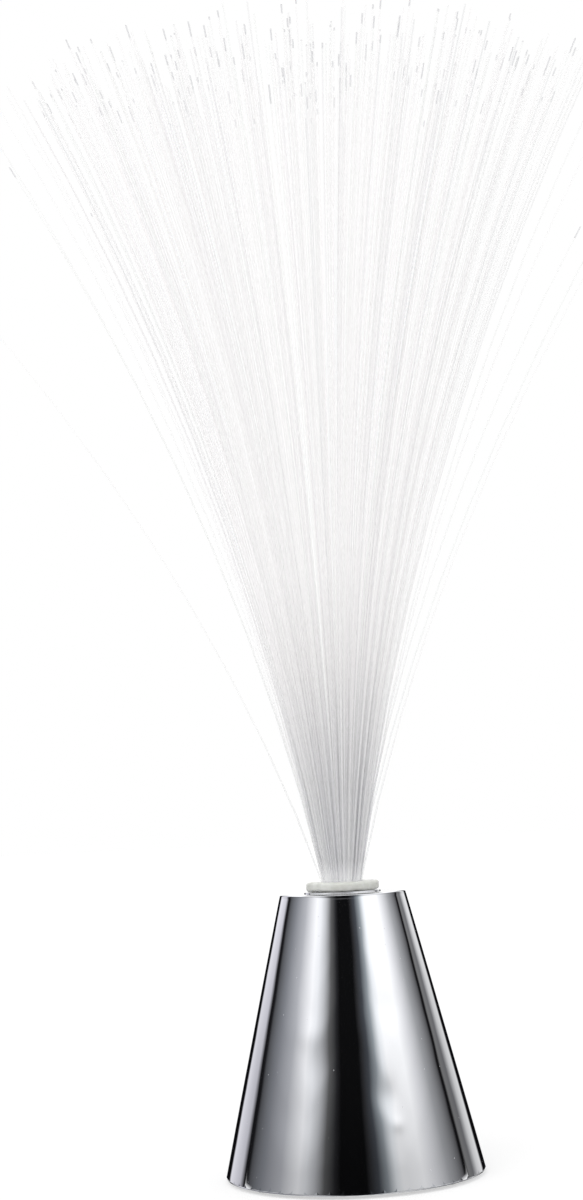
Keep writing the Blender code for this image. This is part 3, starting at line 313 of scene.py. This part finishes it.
# Screws: pan heads with a pressed cross recess, cold-headed from steel wire and plated with
# bright nickel, four up through the base plate and two up through the light board.
MM = 0.001
SCREW_RADIUS = 1.1 * MM
HEAD_RADIUS = 2.3 * MM
HEAD_HEIGHT = 1.4 * MM
HEAD_ROUND = 0.55 * MM
RECESS_HALF_WIDTH = 0.30 * MM
RECESS_HALF_LENGTH = 1.10 * MM
RECESS_DEPTH = 0.75 * MM
RECESS_EDGE = 0.10 * MM
SCREW_COLUMNS = 144
FACE_ROWS = 25
BASE_SCREWS = ["base_screw_1", "base_screw_2", "base_screw_3", "base_screw_4"]
BOARD_SCREWS = ["board_screw_1", "board_screw_2"]


def bend_points(centre, radius, first, last, count):
    """Points of a round corner: centre plus radius times (cosine, sine) of the angle."""
    angles = np.radians(np.linspace(first, last, count))
    return np.stack([centre[0] + radius * np.cos(angles), centre[1] + radius * np.sin(angles)], 1)


def ring_grid(profile, columns):
    """Turns a profile of (radius, level) about the Z axis: x = r cos a, y = r sin a."""
    angles = np.linspace(0, math.tau, columns, endpoint=False)
    radius = profile[:, 0, None]
    level = np.broadcast_to(profile[:, 1, None], (len(profile), columns))
    return np.stack([radius * np.cos(angles), radius * np.sin(angles), level], axis=-1)


def ring_mesh(name, grids, closed=False, sharp=60):
    """One mesh from grids of points, an array of (pieces, rows, columns, 3).

    Each row is a ring that runs anticlockwise seen from the first row's side. Quads
    join each ring to the next, and where closed the last to the first. Otherwise a
    flat cap closes the first and the last ring.
    """
    pieces, rows, columns = grids.shape[:3]
    index = np.arange(pieces * rows * columns).reshape(pieces, rows, columns)
    here = index if closed else index[:, :-1]
    below = np.roll(index, -1, axis=1) if closed else index[:, 1:]
    quads = np.stack([here, below, np.roll(below, -1, 2), np.roll(here, -1, 2)], axis=-1)
    faces = quads.reshape(-1, 4).tolist()
    if not closed:
        faces += index[:, 0].tolist() + index[:, -1, ::-1].tolist()
    mesh = bpy.data.meshes.new(name)
    mesh.from_pydata(grids.reshape(-1, 3), [], faces)
    mesh.shade_smooth()
    mesh.set_sharp_from_angle(angle=math.radians(sharp))
    return mesh


def add_piece(name, mesh, material, body):
    """A finished piece that rides on a body and takes its finish from a slot."""
    piece = bpy.data.objects.new(name, mesh)
    mesh.materials.append(material)
    bpy.context.scene.collection.objects.link(piece)
    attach(piece, body)
    return piece


def recess_share(x, y):
    """How much of the recess's depth a point has: the larger share of two crossed bars."""
    bars = [
        np.clip((RECESS_HALF_WIDTH - np.abs(a)) / RECESS_EDGE + 0.5, 0, 1)
        * np.clip((RECESS_HALF_LENGTH - np.abs(b)) / RECESS_EDGE + 0.5, 0, 1)
        for a, b in ((x, y), (y, x))
    ]
    return np.maximum(*bars)


def screw_grid(node):
    """A screw's profile turned about its axis, its face pushed in where the recess is."""
    low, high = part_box(node)
    flat = HEAD_RADIUS - HEAD_ROUND
    face = np.linspace(flat, 0.02 * flat, FACE_ROWS + 1)[1:]
    profile = np.concatenate([
        [(SCREW_RADIUS - 0.3 * MM, high.z), (SCREW_RADIUS, high.z - 0.6 * MM)],
        [(SCREW_RADIUS, low.z + HEAD_HEIGHT), (HEAD_RADIUS, low.z + HEAD_HEIGHT)],
        bend_points((flat, low.z + HEAD_ROUND), HEAD_ROUND, 0, -90, 7),
        np.stack([face, np.full(FACE_ROWS, low.z)], 1),
    ])
    grid = ring_grid(profile, SCREW_COLUMNS)
    front = grid[-FACE_ROWS - 1:]
    front[..., 2] += RECESS_DEPTH * recess_share(front[..., 0], front[..., 1])
    grid[..., 0] += (low.x + high.x) / 2
    grid[..., 1] += (low.y + high.y) / 2
    return grid


nickel, tree, shader = new_material("bright nickel on steel", "#c4c3be", 0.28, 1.0)
add_grain(tree, shader, 0.15, 0.15, 0.005)
mottle(tree, shader, "#b6b5b0", "#cfcec9", 2)
for name, nodes in (("base_plate_screws", BASE_SCREWS), ("light_board_screws", BOARD_SCREWS)):
    grids = np.stack([screw_grid(node) for node in nodes])
    screws = add_piece(name, ring_mesh(name, grids, sharp=35), nickel, "base")
    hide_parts(*nodes)


# Contacts and the switch's can: pressed from nickel-plated steel strip. The contacts slip
# into slots at the bay's ends, and the can is clipped between the keepers on the plate.
dress(["contact_minus", "contact_bridge_1", "contact_bridge_2", "contact_plus"], nickel)
dress(["switch_body"], nickel)


# Contact springs: nickel-plated steel wire, 0.6 mm thick, coiled into a cone of two and a
# half turns. The wide end stands on its contact and the narrow one presses on the cell.
SPRING_WIRE_RADIUS = 0.3 * MM
SPRING_TIP_RADIUS = 2.0 * MM
SPRING_FOOT_RADIUS = 3.4 * MM
SPRING_REACH = 2.6 * MM
SPRING_TURNS = 2.5
SPRING_POINTS = 120
SPRING_SIDES = 12
CELL_CLEARANCE = 0.3 * MM


def tube_grid(route, across, radius, sides):
    """Rings round a route, at radius times (u cos a + v sin a) from each of its points.

    u lies along the cross product of the route's direction and a fixed vector across
    it, and v along that of u and the direction.
    """
    ahead = np.gradient(route, axis=0)
    ahead /= np.linalg.norm(ahead, axis=1, keepdims=True)
    u = np.cross(ahead, across)
    u /= np.linalg.norm(u, axis=1, keepdims=True)
    v = np.cross(u, ahead)
    angles = np.linspace(0, math.tau, sides, endpoint=False)[:, None]
    return route[:, None] + radius * (u[:, None] * np.cos(angles) + v[:, None] * np.sin(angles))


def spring_grid(node, way):
    """A helix whose radius grows evenly from the cell's flat end to the contact."""
    low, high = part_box(node)
    flat_end = low.y if way > 0 else high.y
    share = np.linspace(0, 1, SPRING_POINTS)
    radius = SPRING_TIP_RADIUS + share * (SPRING_FOOT_RADIUS - SPRING_TIP_RADIUS)
    turn = math.tau * SPRING_TURNS * share
    route = np.stack([
        (low.x + high.x) / 2 + way * radius * np.cos(turn),
        flat_end - way * (CELL_CLEARANCE + SPRING_WIRE_RADIUS + SPRING_REACH * share),
        (low.z + high.z) / 2 + radius * np.sin(turn),
    ], axis=1)
    return tube_grid(route, (0, 1, 0), SPRING_WIRE_RADIUS, SPRING_SIDES)


ways = (("battery_cell_1", 1), ("battery_cell_2", -1), ("battery_cell_3", 1))
grids = np.stack([spring_grid(node, way) for node, way in ways])
coils = ring_mesh("contact_springs", grids)
springs = add_piece("contact_springs", coils, nickel, "base")
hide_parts("battery_spring_1", "battery_spring_2", "battery_spring_3")


# Cells: three steel cans in a plain grey shrink jacket, which is smooth and satin.
jacket, tree, shader = new_material("plain shrink jacket", "#6d7276", 0.4)
mottle(tree, shader, "#666b6f", "#757a7e", 5)
add_grain(tree, shader, 0.8, 0.1)
dress(["battery_cell_1", "battery_cell_2", "battery_cell_3"], jacket)


# Switch knob: light grey acetal, moulded, with a waxy gloss.
acetal, tree, shader = new_material("grey acetal", "#c9c9c6", 0.38)
mottle(tree, shader, "#c2c2bf", "#cfcfcc", 2)
dress(["switch_slider"], acetal)


# Light board, LEDs, cup and the parts under the board, all inside the closed cone: a
# solder-masked board, tinted clear epoxy domes and a white ABS cup.
mask, tree, shader = new_material("solder mask on fibreglass", "#1f5a37", 0.35)
mottle(tree, shader, "#1a5032", "#25633e", 1.2)
dress(["led_board"], mask)
for node, tint in (("led_red", "#d23a33"), ("led_green", "#39b45a"), ("led_blue", "#3560d6")):
    epoxy, tree, shader = new_material(f"tinted epoxy of {node}", tint, 0.12)
    shader.inputs["Transmission Weight"].default_value = 0.5
    add_grain(tree, shader, 1.5, 0.05)
    dress([node], epoxy)
white_abs, tree, shader = new_material("white ABS", "#ecece8", 0.5)
add_grain(tree, shader, GRAIN_MM, 0.3)
dress(["light_cup"], white_abs)
chip_black, tree, shader = new_material("black epoxy", "#18181a", 0.3)
mottle(tree, shader, "#141416", "#1f1f21", 1)
dress(["controller_chip", "resistor_1", "resistor_2"], chip_black)


# Wires: fine stranded copper in soft PVC covers, 1.1 mm thick, soldered at both ends and
# bent over in free arcs: cells to board, cells to switch and switch to board.
WIRE_RADIUS = 0.55 * MM
WIRE_RISE = 13 * MM
WIRE_POINTS = 48
WIRE_SIDES = 14
SOLDER_GAP = 0.3 * MM
LUG_PITCH = 2.5 * MM
PAD_OUT = 10.5 * MM
PAD_ASIDE = 8.5 * MM


def joint_above(node, aside=0.0):
    """The solder joint just above a node's middle, moved aside along Y."""
    low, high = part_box(node)
    return np.array([(low.x + high.x) / 2, (low.y + high.y) / 2 + aside, high.z + SOLDER_GAP])


def wire_grid(start, end, end_way):
    """A tube along a cubic bend that leaves the first joint upwards and meets the other along Z."""
    near = start + np.array([0, 0, WIRE_RISE])
    far = end + np.array([0, 0, end_way * WIRE_RISE])
    share = np.linspace(0, 1, WIRE_POINTS)[:, None]
    back = 1 - share
    route = back ** 3 * start + 3 * back ** 2 * share * near
    route += 3 * back * share ** 2 * far + share ** 3 * end
    return tube_grid(route, np.cross(end - start, (0, 0, 1)), WIRE_RADIUS, WIRE_SIDES)


pad_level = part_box("led_board")[0].z - SOLDER_GAP
red_pad = np.array([PAD_OUT, PAD_ASIDE, pad_level])
white_pad = np.array([PAD_OUT, -PAD_ASIDE, pad_level])
outer_lug = joint_above("switch_body", -LUG_PITCH)
wires = (
    ("wire_red", "#b3231f", joint_above("contact_plus"), red_pad, -1),
    ("wire_black", "#18181a", joint_above("contact_minus"), outer_lug, 1),
    ("wire_white", "#e4e4e0", joint_above("switch_body"), white_pad, -1),
)
for node, tint, start, end, end_way in wires:
    pvc, tree, shader = new_material(f"PVC cover of {node}", tint, 0.45)
    add_grain(tree, shader, 0.6, 0.15)
    cover = ring_mesh(node + "_round", wire_grid(start, end, end_way)[None])
    wire = add_piece(node + "_round", cover, pvc, "base")
    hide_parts(node)


# Plating: a mirror of vacuum-laid aluminium under clear lacquer on the moulded ABS cone.
# It wraps the wall, the rounded edges and the flat top, and shows the moulding's shallow
# sinks and ripples and a little dust.
PLATE_PROUD = 0.05 * MM
PLATE_DEEP = 0.35 * MM
WALL_PROUD = 0.10 * MM
CONE_COLUMNS = 288
WALL_ROWS = 120
BODY_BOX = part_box("cone_shell")
RIM_LEVEL = BODY_BOX[0].z
# The seat's rise above the flat top, less than the solid's, as the photo shows the top's edge
SEAT_RISE = 0.4 * MM
SEAT_ROUND = 0.2 * MM
TOP_LEVEL = BODY_BOX[1].z - SEAT_RISE
FOOT_RADIUS = BODY_BOX[1].x
TOP_RADIUS = 17.7 * MM
SOCKET_BORE = 7.5 * MM
SEAT_RADIUS = 10.8 * MM
TOP_ROUND = 0.5 * MM
RIM_ROUND = 0.45 * MM
RIM_ROWS = 7
# Where the round corners meet the wall, in degrees from level
WALL_TILT = 4
# How far in from the cone's foot the plating's inner side starts and turns upwards
INNER_START = 1.6 * MM
INNER_TURN = 1.2 * MM
# Shallow sinks in the wall: azimuth from the front in degrees, level, width, height and
# depth in millimetres
SINKS = [
    (17, 24.5, 3.2, 4.5, 0.11), (21, 17.6, 1.6, 1.8, -0.045), (-27, 41, 4.5, 3.5, -0.06),
    (-18, 33, 4.0, 5.5, 0.06), (24, 47, 6.0, 5.0, 0.05), (-34, 20, 6.0, 6.0, 0.05),
    (12, 60, 3.5, 5.0, -0.03), (100, 40, 5.0, 8.0, 0.07), (160, 25, 6.0, 6.0, 0.07),
    (-110, 30, 5.0, 7.0, 0.06), (-150, 52, 4.0, 6.0, 0.05), (62, 30, 5.0, 6.0, 0.05),
]
# Ripples: count round the cone, wave up it and size in millimetres, and phase
RIPPLES = [(9, 31, 0.010, 0.4), (23, 13, 0.003, 2.0), (41, 7, 0.0011, 4.1)]
SINK_FADE_POWER = 0.35
MIRROR_ROUGHNESS = 0.035
DUST_ROUGHNESS = 0.6
DUST_CELL_MM = 2.2
DUST_EDGE = (0.075, 0.045)
DUST_RARITY = 0.8


def cone_wall_radius(level):
    """The cone's outer radius, a straight taper from its foot to its top."""
    share = (level - RIM_LEVEL) / (TOP_LEVEL - RIM_LEVEL)
    return FOOT_RADIUS + share * (TOP_RADIUS - FOOT_RADIUS)


def wall_unevenness(angle, level):
    """How far the wall stands proud: bell-shaped sinks and a few crossing ripples.

    A sink is its depth times exp(-(s/width)^2 - (h/height)^2), with s the distance
    round the wall and h the distance up it. The ripples are sines of whole counts
    round the cone, so they meet at the seam.
    """
    proud = np.zeros(np.broadcast(angle, level).shape)
    for degrees, rise, width, height, depth in SINKS:
        turn = (angle - math.radians(degrees - 90) + math.pi) % math.tau - math.pi
        along = turn * cone_wall_radius(level) / (width * MM)
        proud -= depth * MM * np.exp(-along ** 2 - ((level / MM - rise) / height) ** 2)
    for count, wave, size, phase in RIPPLES:
        up = np.sin(level / MM * math.tau / wave + phase)
        proud += size * MM * np.sin(count * angle + phase) * up
    return proud


def plating_grid():
    """The plating: the cone's outer profile, moved out a little, and the same moved in."""
    levels = np.linspace(TOP_LEVEL - TOP_ROUND, RIM_LEVEL + RIM_ROUND, WALL_ROWS)
    wall = np.stack([cone_wall_radius(levels), levels], 1)
    seat = TOP_LEVEL + SEAT_RISE
    outer = np.concatenate([
        [(SOCKET_BORE, seat)],
        bend_points((SEAT_RADIUS - SEAT_ROUND, seat - SEAT_ROUND), SEAT_ROUND, 90, 0, 5),
        [(SEAT_RADIUS, TOP_LEVEL)],
        bend_points((wall[0, 0] - TOP_ROUND, TOP_LEVEL - TOP_ROUND), TOP_ROUND, 90, WALL_TILT, 9),
        wall,
        bend_points(
            (FOOT_RADIUS - RIM_ROUND, RIM_LEVEL + RIM_ROUND), RIM_ROUND, -WALL_TILT, -90, RIM_ROWS
        ),
    ])
    outer[:, 1] += PLATE_PROUD
    outer[:, 0] += PLATE_PROUD
    inner = np.array([
        (FOOT_RADIUS - INNER_START, RIM_LEVEL + PLATE_PROUD),
        (FOOT_RADIUS - INNER_START, RIM_LEVEL + PLATE_DEEP),
        (FOOT_RADIUS - INNER_TURN, RIM_LEVEL + 2 * PLATE_DEEP),
        (TOP_RADIUS - PLATE_DEEP, TOP_LEVEL - 3 * PLATE_DEEP),
        (TOP_RADIUS - 3 * PLATE_DEEP, TOP_LEVEL - PLATE_DEEP),
        (SOCKET_BORE + PLATE_PROUD, TOP_LEVEL - PLATE_DEEP),
    ])
    grid = ring_grid(np.concatenate([outer, inner]), CONE_COLUMNS)
    first = len(outer) - RIM_ROWS - WALL_ROWS
    rows = slice(first, first + WALL_ROWS)
    angle = np.arctan2(grid[rows, :, 1], grid[rows, :, 0])
    fade = np.sin(np.linspace(0, math.pi, WALL_ROWS))[:, None] ** SINK_FADE_POWER
    proud = (WALL_PROUD + wall_unevenness(angle, grid[rows, :, 2])) * fade
    grid[rows, :, 0] += proud * np.cos(angle)
    grid[rows, :, 1] += proud * np.sin(angle)
    return grid


chrome, tree, shader = new_material(
    "vacuum-laid aluminium under lacquer", "#e9eaed", MIRROR_ROUGHNESS, 1.0
)
place = add_node(tree, "ShaderNodeTexCoord").outputs["Object"]
# Dust: one speck of about a quarter of a millimetre every few millimetres
cells = add_node(
    tree, "ShaderNodeTexVoronoi", {"Vector": place, "Scale": 1000 / DUST_CELL_MM}
).outputs
chance = add_node(tree, "ShaderNodeSeparateColor", {"Color": cells["Color"]}).outputs["Red"]
rare = figure(tree, "GREATER_THAN", chance, DUST_RARITY)
dust = figure(tree, "MULTIPLY", ranged(tree, cells["Distance"], *DUST_EDGE), rare)
gloss = ranged(tree, dust, 0.0, 1.0, MIRROR_ROUGHNESS, DUST_ROUGHNESS)
tree.links.new(gloss, shader.inputs["Roughness"])
plating = add_piece(
    "cone_plating", ring_mesh("cone_plating", plating_grid()[None], closed=True), chrome, "base",
)
abs_core, tree, shader = new_material("ABS under the plating", "#d8dade", 0.1, 1.0)
add_grain(tree, shader, 3, 0.05)
dress(["cone_shell"], abs_core)


# Collar and bush: one moulding of pale, slightly cloudy polypropylene. Its collar has
# soft, slightly uneven edges and rests on the plated seat; its sleeve turns in the socket.
COLLAR_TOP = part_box("collar_bush")[1].z
BUSH_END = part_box("collar_bush")[0].z
COLLAR_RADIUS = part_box("collar_bush")[1].x
COLLAR_FOOT = 78.15 * MM
COLLAR_ROUND = 0.75 * MM
BUSH_BORE = 6.35 * MM
BUSH_RADIUS = 7.2 * MM
LIP_BORE = 5.6 * MM
LIP_HEIGHT = 1.0 * MM
COLLAR_COLUMNS = 128
COLLAR_ARC = 9
# Sines round the collar: size in millimetres, count and phase
COLLAR_SWELLS = [(0.10, 3, 0.7), (0.06, 7, 2.1), (0.05, 17, 0.0)]
COLLAR_DROOPS = [(0.08, 2, 0.4), (0.07, 5, 1.0)]
COLLAR_CRINKLES = [(0.06, 14, 1.9)]
# Crinkles that come and go, this many times round
COLLAR_BEATING = [(0.07, 23, 0.3)]
BEAT_COUNT = 9
# The share of the crinkles at the collar's top and, the other way, at its foot
CRINKLE_SHARES = (1.2, -0.8)
COLLAR_SINK = 0.08


def waves(angle, sines):
    """The sum of sizes times sines of whole counts of the angle."""
    return sum(size * np.sin(count * angle + phase) for size, count, phase in sines)


def collar_grid():
    """The bush's closed profile turned about Z, its collar's edge swollen by sines."""
    upper = (COLLAR_RADIUS - COLLAR_ROUND, COLLAR_TOP - COLLAR_ROUND)
    lower = (COLLAR_RADIUS - COLLAR_ROUND, COLLAR_FOOT + COLLAR_ROUND)
    profile = np.concatenate([
        [(BUSH_BORE, COLLAR_TOP - 0.3 * MM), (BUSH_BORE + 0.3 * MM, COLLAR_TOP)],
        [(BUSH_BORE + 1.4 * MM, COLLAR_TOP)],
        bend_points(upper, COLLAR_ROUND, 90, 0, COLLAR_ARC),
        bend_points(lower, COLLAR_ROUND, 0, -90, COLLAR_ARC),
        [(BUSH_RADIUS, COLLAR_FOOT), (BUSH_RADIUS, BUSH_END), (LIP_BORE, BUSH_END)],
        [(LIP_BORE, BUSH_END + LIP_HEIGHT), (BUSH_BORE, BUSH_END + LIP_HEIGHT)],
    ])
    grid = ring_grid(profile, COLLAR_COLUMNS)
    rows = slice(2, 3 + 2 * COLLAR_ARC)
    angle = np.arctan2(grid[rows, :, 1], grid[rows, :, 0])
    out = np.clip((profile[rows, 0, None] - BUSH_RADIUS) / (COLLAR_RADIUS - BUSH_RADIUS), 0, 1)
    swell = waves(angle, COLLAR_SWELLS)
    grid[rows, :, 0] += swell * out * MM * np.cos(angle)
    grid[rows, :, 1] += swell * out * MM * np.sin(angle)
    crinkle = waves(angle, COLLAR_BEATING) * np.sin(BEAT_COUNT * angle)
    crinkle += waves(angle, COLLAR_CRINKLES)
    crinkle *= np.linspace(*CRINKLE_SHARES, len(crinkle))[:, None]
    grid[rows, :, 2] += (waves(angle, COLLAR_DROOPS) - COLLAR_SINK + crinkle) * out * MM
    return grid


ivory, tree, shader = new_material("cloudy polypropylene", "#e2e3dd", 0.42)
mottle(tree, shader, "#d9dad3", "#e9eae5", 2.5)
add_grain(tree, shader, 1.2, 0.35, 0.05)
shader.inputs["Subsurface Weight"].default_value = 0.25
shader.inputs["Subsurface Radius"].default_value = (1.0, 1.0, 0.9)
shader.inputs["Subsurface Scale"].default_value = 0.0015
collar = add_piece(
    "collar", ring_mesh("collar", collar_grid()[None], closed=True), ivory, "bush"
)
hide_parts("collar_bush")


# Bundle: the bound lower end of the fibres, set in clear resin. The outer fibres show as
# flutes down its side, and its foot is polished flat to take the light.
BUNDLE_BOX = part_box("fibre_bundle")
BUNDLE_RADIUS = BUNDLE_BOX[1].x
FLUTES = 60
FLUTE_DEPTH = 0.12 * MM
FLUTE_COLUMNS = 6
FIBRE_END_MM = 0.7


def fluted_grid(top, bottom, radius):
    """A fluted bar: its radius falls by the flute depth times |sin| of the flutes' turn."""
    angles = np.linspace(0, math.tau, FLUTES * FLUTE_COLUMNS, endpoint=False)
    out = radius - FLUTE_DEPTH * (1 - np.abs(np.sin(angles * FLUTES / 2)))
    levels = np.array([top, bottom])[:, None]
    return np.stack([
        np.broadcast_to(out * np.cos(angles), (2, len(angles))),
        np.broadcast_to(out * np.sin(angles), (2, len(angles))),
        np.broadcast_to(levels, (2, len(angles))),
    ], axis=-1)


resin, tree, shader = new_material("fibres set in clear resin", "#dfe0df", 0.25)
place = add_node(tree, "ShaderNodeTexCoord").outputs["Object"]
ends = add_node(
    tree, "ShaderNodeTexVoronoi", {"Vector": place, "Scale": 1000 / FIBRE_END_MM}
).outputs["Distance"]
shade = ramp(tree, ends, [(0.3, "#e9eae9"), (0.75, "#b9babb")])
tree.links.new(shade, shader.inputs["Base Color"])
bundle = add_piece(
    "bound_fibres",
    ring_mesh("bound_fibres", fluted_grid(BUNDLE_BOX[1].z, BUNDLE_BOX[0].z, BUNDLE_RADIUS)[None]),
    resin, "spray",
)
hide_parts("fibre_bundle")


# Spray: drawn acrylic fibres, clear, 0.6 mm thick, which leave the collar side by side
# and fan out into a cone of about 20 degrees to each side. They bow outwards under their
# own weight, stand in clumps with partings between them, and end at unlike lengths.
FIBRE_COUNT = 300
FILL_COUNT = 250
FILL_PARTING_SHARE = 0.45
FIBRE_SIDES = 6
FIBRE_ROWS = 10
FIBRE_RADIUS = 0.24 * MM
SPRAY_TURN = math.radians(20)
SPRAY_SEED = 7
SLICE_THICKNESS = 1.2 * MM
ROOT_RADIUS = 5.4 * MM
ROOT_DEPTH = 0.6 * MM
SPRAY_LENGTH = 248 * MM
LENGTH_SPREAD = 12 * MM
SIDE_GAIN_SHARE = 0.035
SPRAY_LEAN = math.radians(10.5)
SPRAY_BOW = 47.7 * MM
DEPTH_SHARE = 0.3985
SPRAY_SCATTER = 3.4 * MM
SCATTER_FADE = 6
STRAY_COUNT = 30
STRAY_DROOP_SHARE = 0.95
STRAY_CUT_SHARE = 0.19
STRAY_FADE = 4
PARTING_PLACE_SHARES = (-0.60, -0.45, -0.35, -0.11, 0.06, 0.25, 0.37, 0.54)
PARTING_WIDTH_SHARES = (0.012, 0.010, 0.010, 0.030, 0.010, 0.012, 0.010, 0.010)
PARTING_FADE_SHARE = 0.056
NECK_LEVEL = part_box("fibre_spray")[0].z + SLICE_THICKNESS
# Painted shade: between these levels the fibres' colour turns to the greyer ramp of the packed
# bundle
PAINTED_SHADE_TOP = NECK_LEVEL + 62 * MM
PAINTED_SHADE_FOOT = NECK_LEVEL + 12 * MM
TIP_DASHES = (-8 * MM, 5 * MM)
TIP_COVER = 0.42
OPEN_COVER = (0.18, 0.26)
PACKED_COVER = (0.24, 0.45)
PAINTED_GLOW_TOP = NECK_LEVEL + 100 * MM
# Share of the way from the neck to there, and the strength of the white glow painted on the fibres
# there
PAINTED_GLOW = [(0.0, 0.14), (0.022, 0.10), (0.06, 0.04), (0.25, 0.05), (0.45, 0.08), (0.9, 0.135)]


def spray_lean(height):
    """How far the outermost fibre leans out: a fixed lean and a bow as height squared."""
    return math.tan(SPRAY_LEAN) * height + SPRAY_BOW * (height / SPRAY_LENGTH) ** 2


def parting_push(share):
    """How far a fibre's share of the width is moved away from the partings."""
    moved = share.copy()
    for place, half_width in zip(PARTING_PLACE_SHARES, PARTING_WIDTH_SHARES):
        away = moved - place
        moved += half_width * np.copysign(1, away) * np.exp(-np.abs(away) / PARTING_FADE_SHARE)
    return moved - share


def spray_routes():
    """Each fibre's middle line, (fibres, rows, 3) from its tip to its root, and its length.

    Roots lie on a sunflower spiral. A fibre keeps its share of the outermost one's reach
    at every height, less from front to back than across, moved a little by chance and by
    the partings. Those at the sides are a little longer, and the outermost ones droop
    further and are shorter. More fibres fill in halfway along the spiral from one to the
    next, and the partings move these less.
    """
    draw = random.Random(SPRAY_SEED)
    count = FIBRE_COUNT + FILL_COUNT
    chances = np.array([[draw.random() for _ in range(4)] for _ in range(count)])
    number = np.concatenate([np.arange(FIBRE_COUNT), np.arange(FILL_COUNT) + 0.5])
    parted = np.where(np.arange(count) < FIBRE_COUNT, 1, FILL_PARTING_SHARE)
    share = np.sqrt((number + 0.5) / FIBRE_COUNT)
    turn = SPRAY_TURN + number * math.pi * (3 - math.sqrt(5))
    across = share * np.cos(turn)
    inward = share * np.sin(turn)
    sag = (np.maximum(0, number + 1 - FIBRE_COUNT + STRAY_COUNT) / STRAY_COUNT) ** STRAY_FADE
    droop = 1 + STRAY_DROOP_SHARE * sag
    spread = spray_lean(SPRAY_LENGTH)
    length = SPRAY_LENGTH * (1 + SIDE_GAIN_SHARE * across ** 2 - STRAY_CUT_SHARE * sag)
    length -= chances[:, 0] ** 2 * LENGTH_SPREAD
    lean_share = droop * np.hypot(across, DEPTH_SHARE * inward)
    tip = length / np.hypot(1, lean_share * spread / SPRAY_LENGTH)
    drift = chances[:, 2] * math.tau
    scatter = SPRAY_SCATTER * (1 - share ** SCATTER_FADE) * chances[:, 3]
    moved_x = scatter * np.cos(drift) + parted * parting_push(across) * (ROOT_RADIUS + spread)
    moved_y = scatter * np.sin(drift)
    height = np.linspace(tip, np.full(count, -ROOT_DEPTH), FIBRE_ROWS)
    lean = spray_lean(np.maximum(height, 0))
    grown = lean / spread
    x = across * (ROOT_RADIUS + droop * lean) + grown * moved_x
    y = inward * ROOT_RADIUS + DEPTH_SHARE * (inward * droop * lean + grown * moved_y)
    return np.stack([x, y, NECK_LEVEL + height], axis=-1).transpose(1, 0, 2), length


def spray_mesh():
    """The fibres as round tubes about their routes, with each fibre's data as attributes."""
    routes, length = spray_routes()
    angles = np.linspace(0, math.tau, FIBRE_SIDES, endpoint=False)
    section = FIBRE_RADIUS * np.stack([np.cos(angles), np.sin(angles), np.zeros(FIBRE_SIDES)], 1)
    mesh = ring_mesh("fibre_spray_clear", routes[:, :, None] + section[None, None])
    draw = np.random.default_rng(SPRAY_SEED)
    from_tip = np.linspace(0, 1, FIBRE_ROWS)[None, :, None] * length[:, None, None]
    chance = draw.random(len(routes))[:, None, None]
    tone = draw.random(len(routes))[:, None, None]
    shape = (len(routes), FIBRE_ROWS, FIBRE_SIDES)
    for name, values in (("from_tip", from_tip), ("chance", chance), ("tone", tone)):
        layer = mesh.attributes.new(name, "FLOAT", "POINT")
        layer.data.foreach_set("value", np.broadcast_to(values, shape).astype(np.float32).ravel())
    return mesh


acrylic, tree, shader = new_material("drawn acrylic fibre", "#e6e7e8", 0.25)
from_tip = add_node(tree, "ShaderNodeAttribute", attribute_name="from_tip").outputs["Fac"]
chance = add_node(tree, "ShaderNodeAttribute", attribute_name="chance").outputs["Fac"]
tone = add_node(tree, "ShaderNodeAttribute", attribute_name="tone").outputs["Fac"]
place = add_node(tree, "ShaderNodeTexCoord").outputs["Object"]
level = add_node(tree, "ShaderNodeSeparateXYZ", {"Vector": place}).outputs["Z"]
# Colour by fibre, from clear white to a greyish one, with a hint of pink or green. Near the
# collar, where they are packed side by side, a greyer ramp is painted shade for the dense bundle.
tints = ramp(
    tree, tone,
    [(0.0, "#ffffff"), (0.35, "#faf7f8"), (0.7, "#f2f4f2"), (0.9, "#efebed"), (1.0, "#cfd1d3")],
)
packed_painted_shade_tints = ramp(
    tree, tone,
    [(0.0, "#ffffff"), (0.4, "#fafafb"), (0.75, "#ececef"), (0.9, "#d6d6da"), (1.0, "#b4b4ba")],
)
packed_painted_shade = ranged(tree, level, PAINTED_SHADE_TOP, PAINTED_SHADE_FOOT)
painted_shade_greyed = mixed(tree, packed_painted_shade, tints, packed_painted_shade_tints)
# Some cut tips scatter light and look like short dark dashes
reach = ranged(tree, chance, 0.0, 1.0, *TIP_DASHES)
at_tip = figure(tree, "LESS_THAN", from_tip, reach)
tree.links.new(mixed(tree, at_tip, painted_shade_greyed, hex_colour("#cfcfd2")), shader.inputs["Base Color"])
edge = add_node(tree, "ShaderNodeLayerWeight", {"Blend": 0.35}).outputs["Facing"]
# Near the collar the fibres also cover more of what lies behind them, so more of the painted shade
# shows
least = ranged(tree, packed_painted_shade, 0.0, 1.0, OPEN_COVER[0], PACKED_COVER[0])
most = ranged(tree, packed_painted_shade, 0.0, 1.0, OPEN_COVER[1], PACKED_COVER[1])
clear = ranged(tree, edge, 0.0, 1.0, least, most)
cover = add_node(tree, "ShaderNodeMix", {0: at_tip, 2: clear, 3: TIP_COVER}).outputs[0]
tree.links.new(cover, shader.inputs["Alpha"])
# Painted light: the fibres glow faintly along the open fan and where they leave the collar, though
# nothing lights them from inside
painted_glow = ramp(tree, ranged(tree, level, NECK_LEVEL, PAINTED_GLOW_TOP), PAINTED_GLOW)
tree.links.new(painted_glow, shader.inputs["Emission Strength"])
shader.inputs["Emission Color"].default_value = WHITE
spray = add_piece("fibre_spray_clear", spray_mesh(), acrylic, "spray")
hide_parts("fibre_spray")
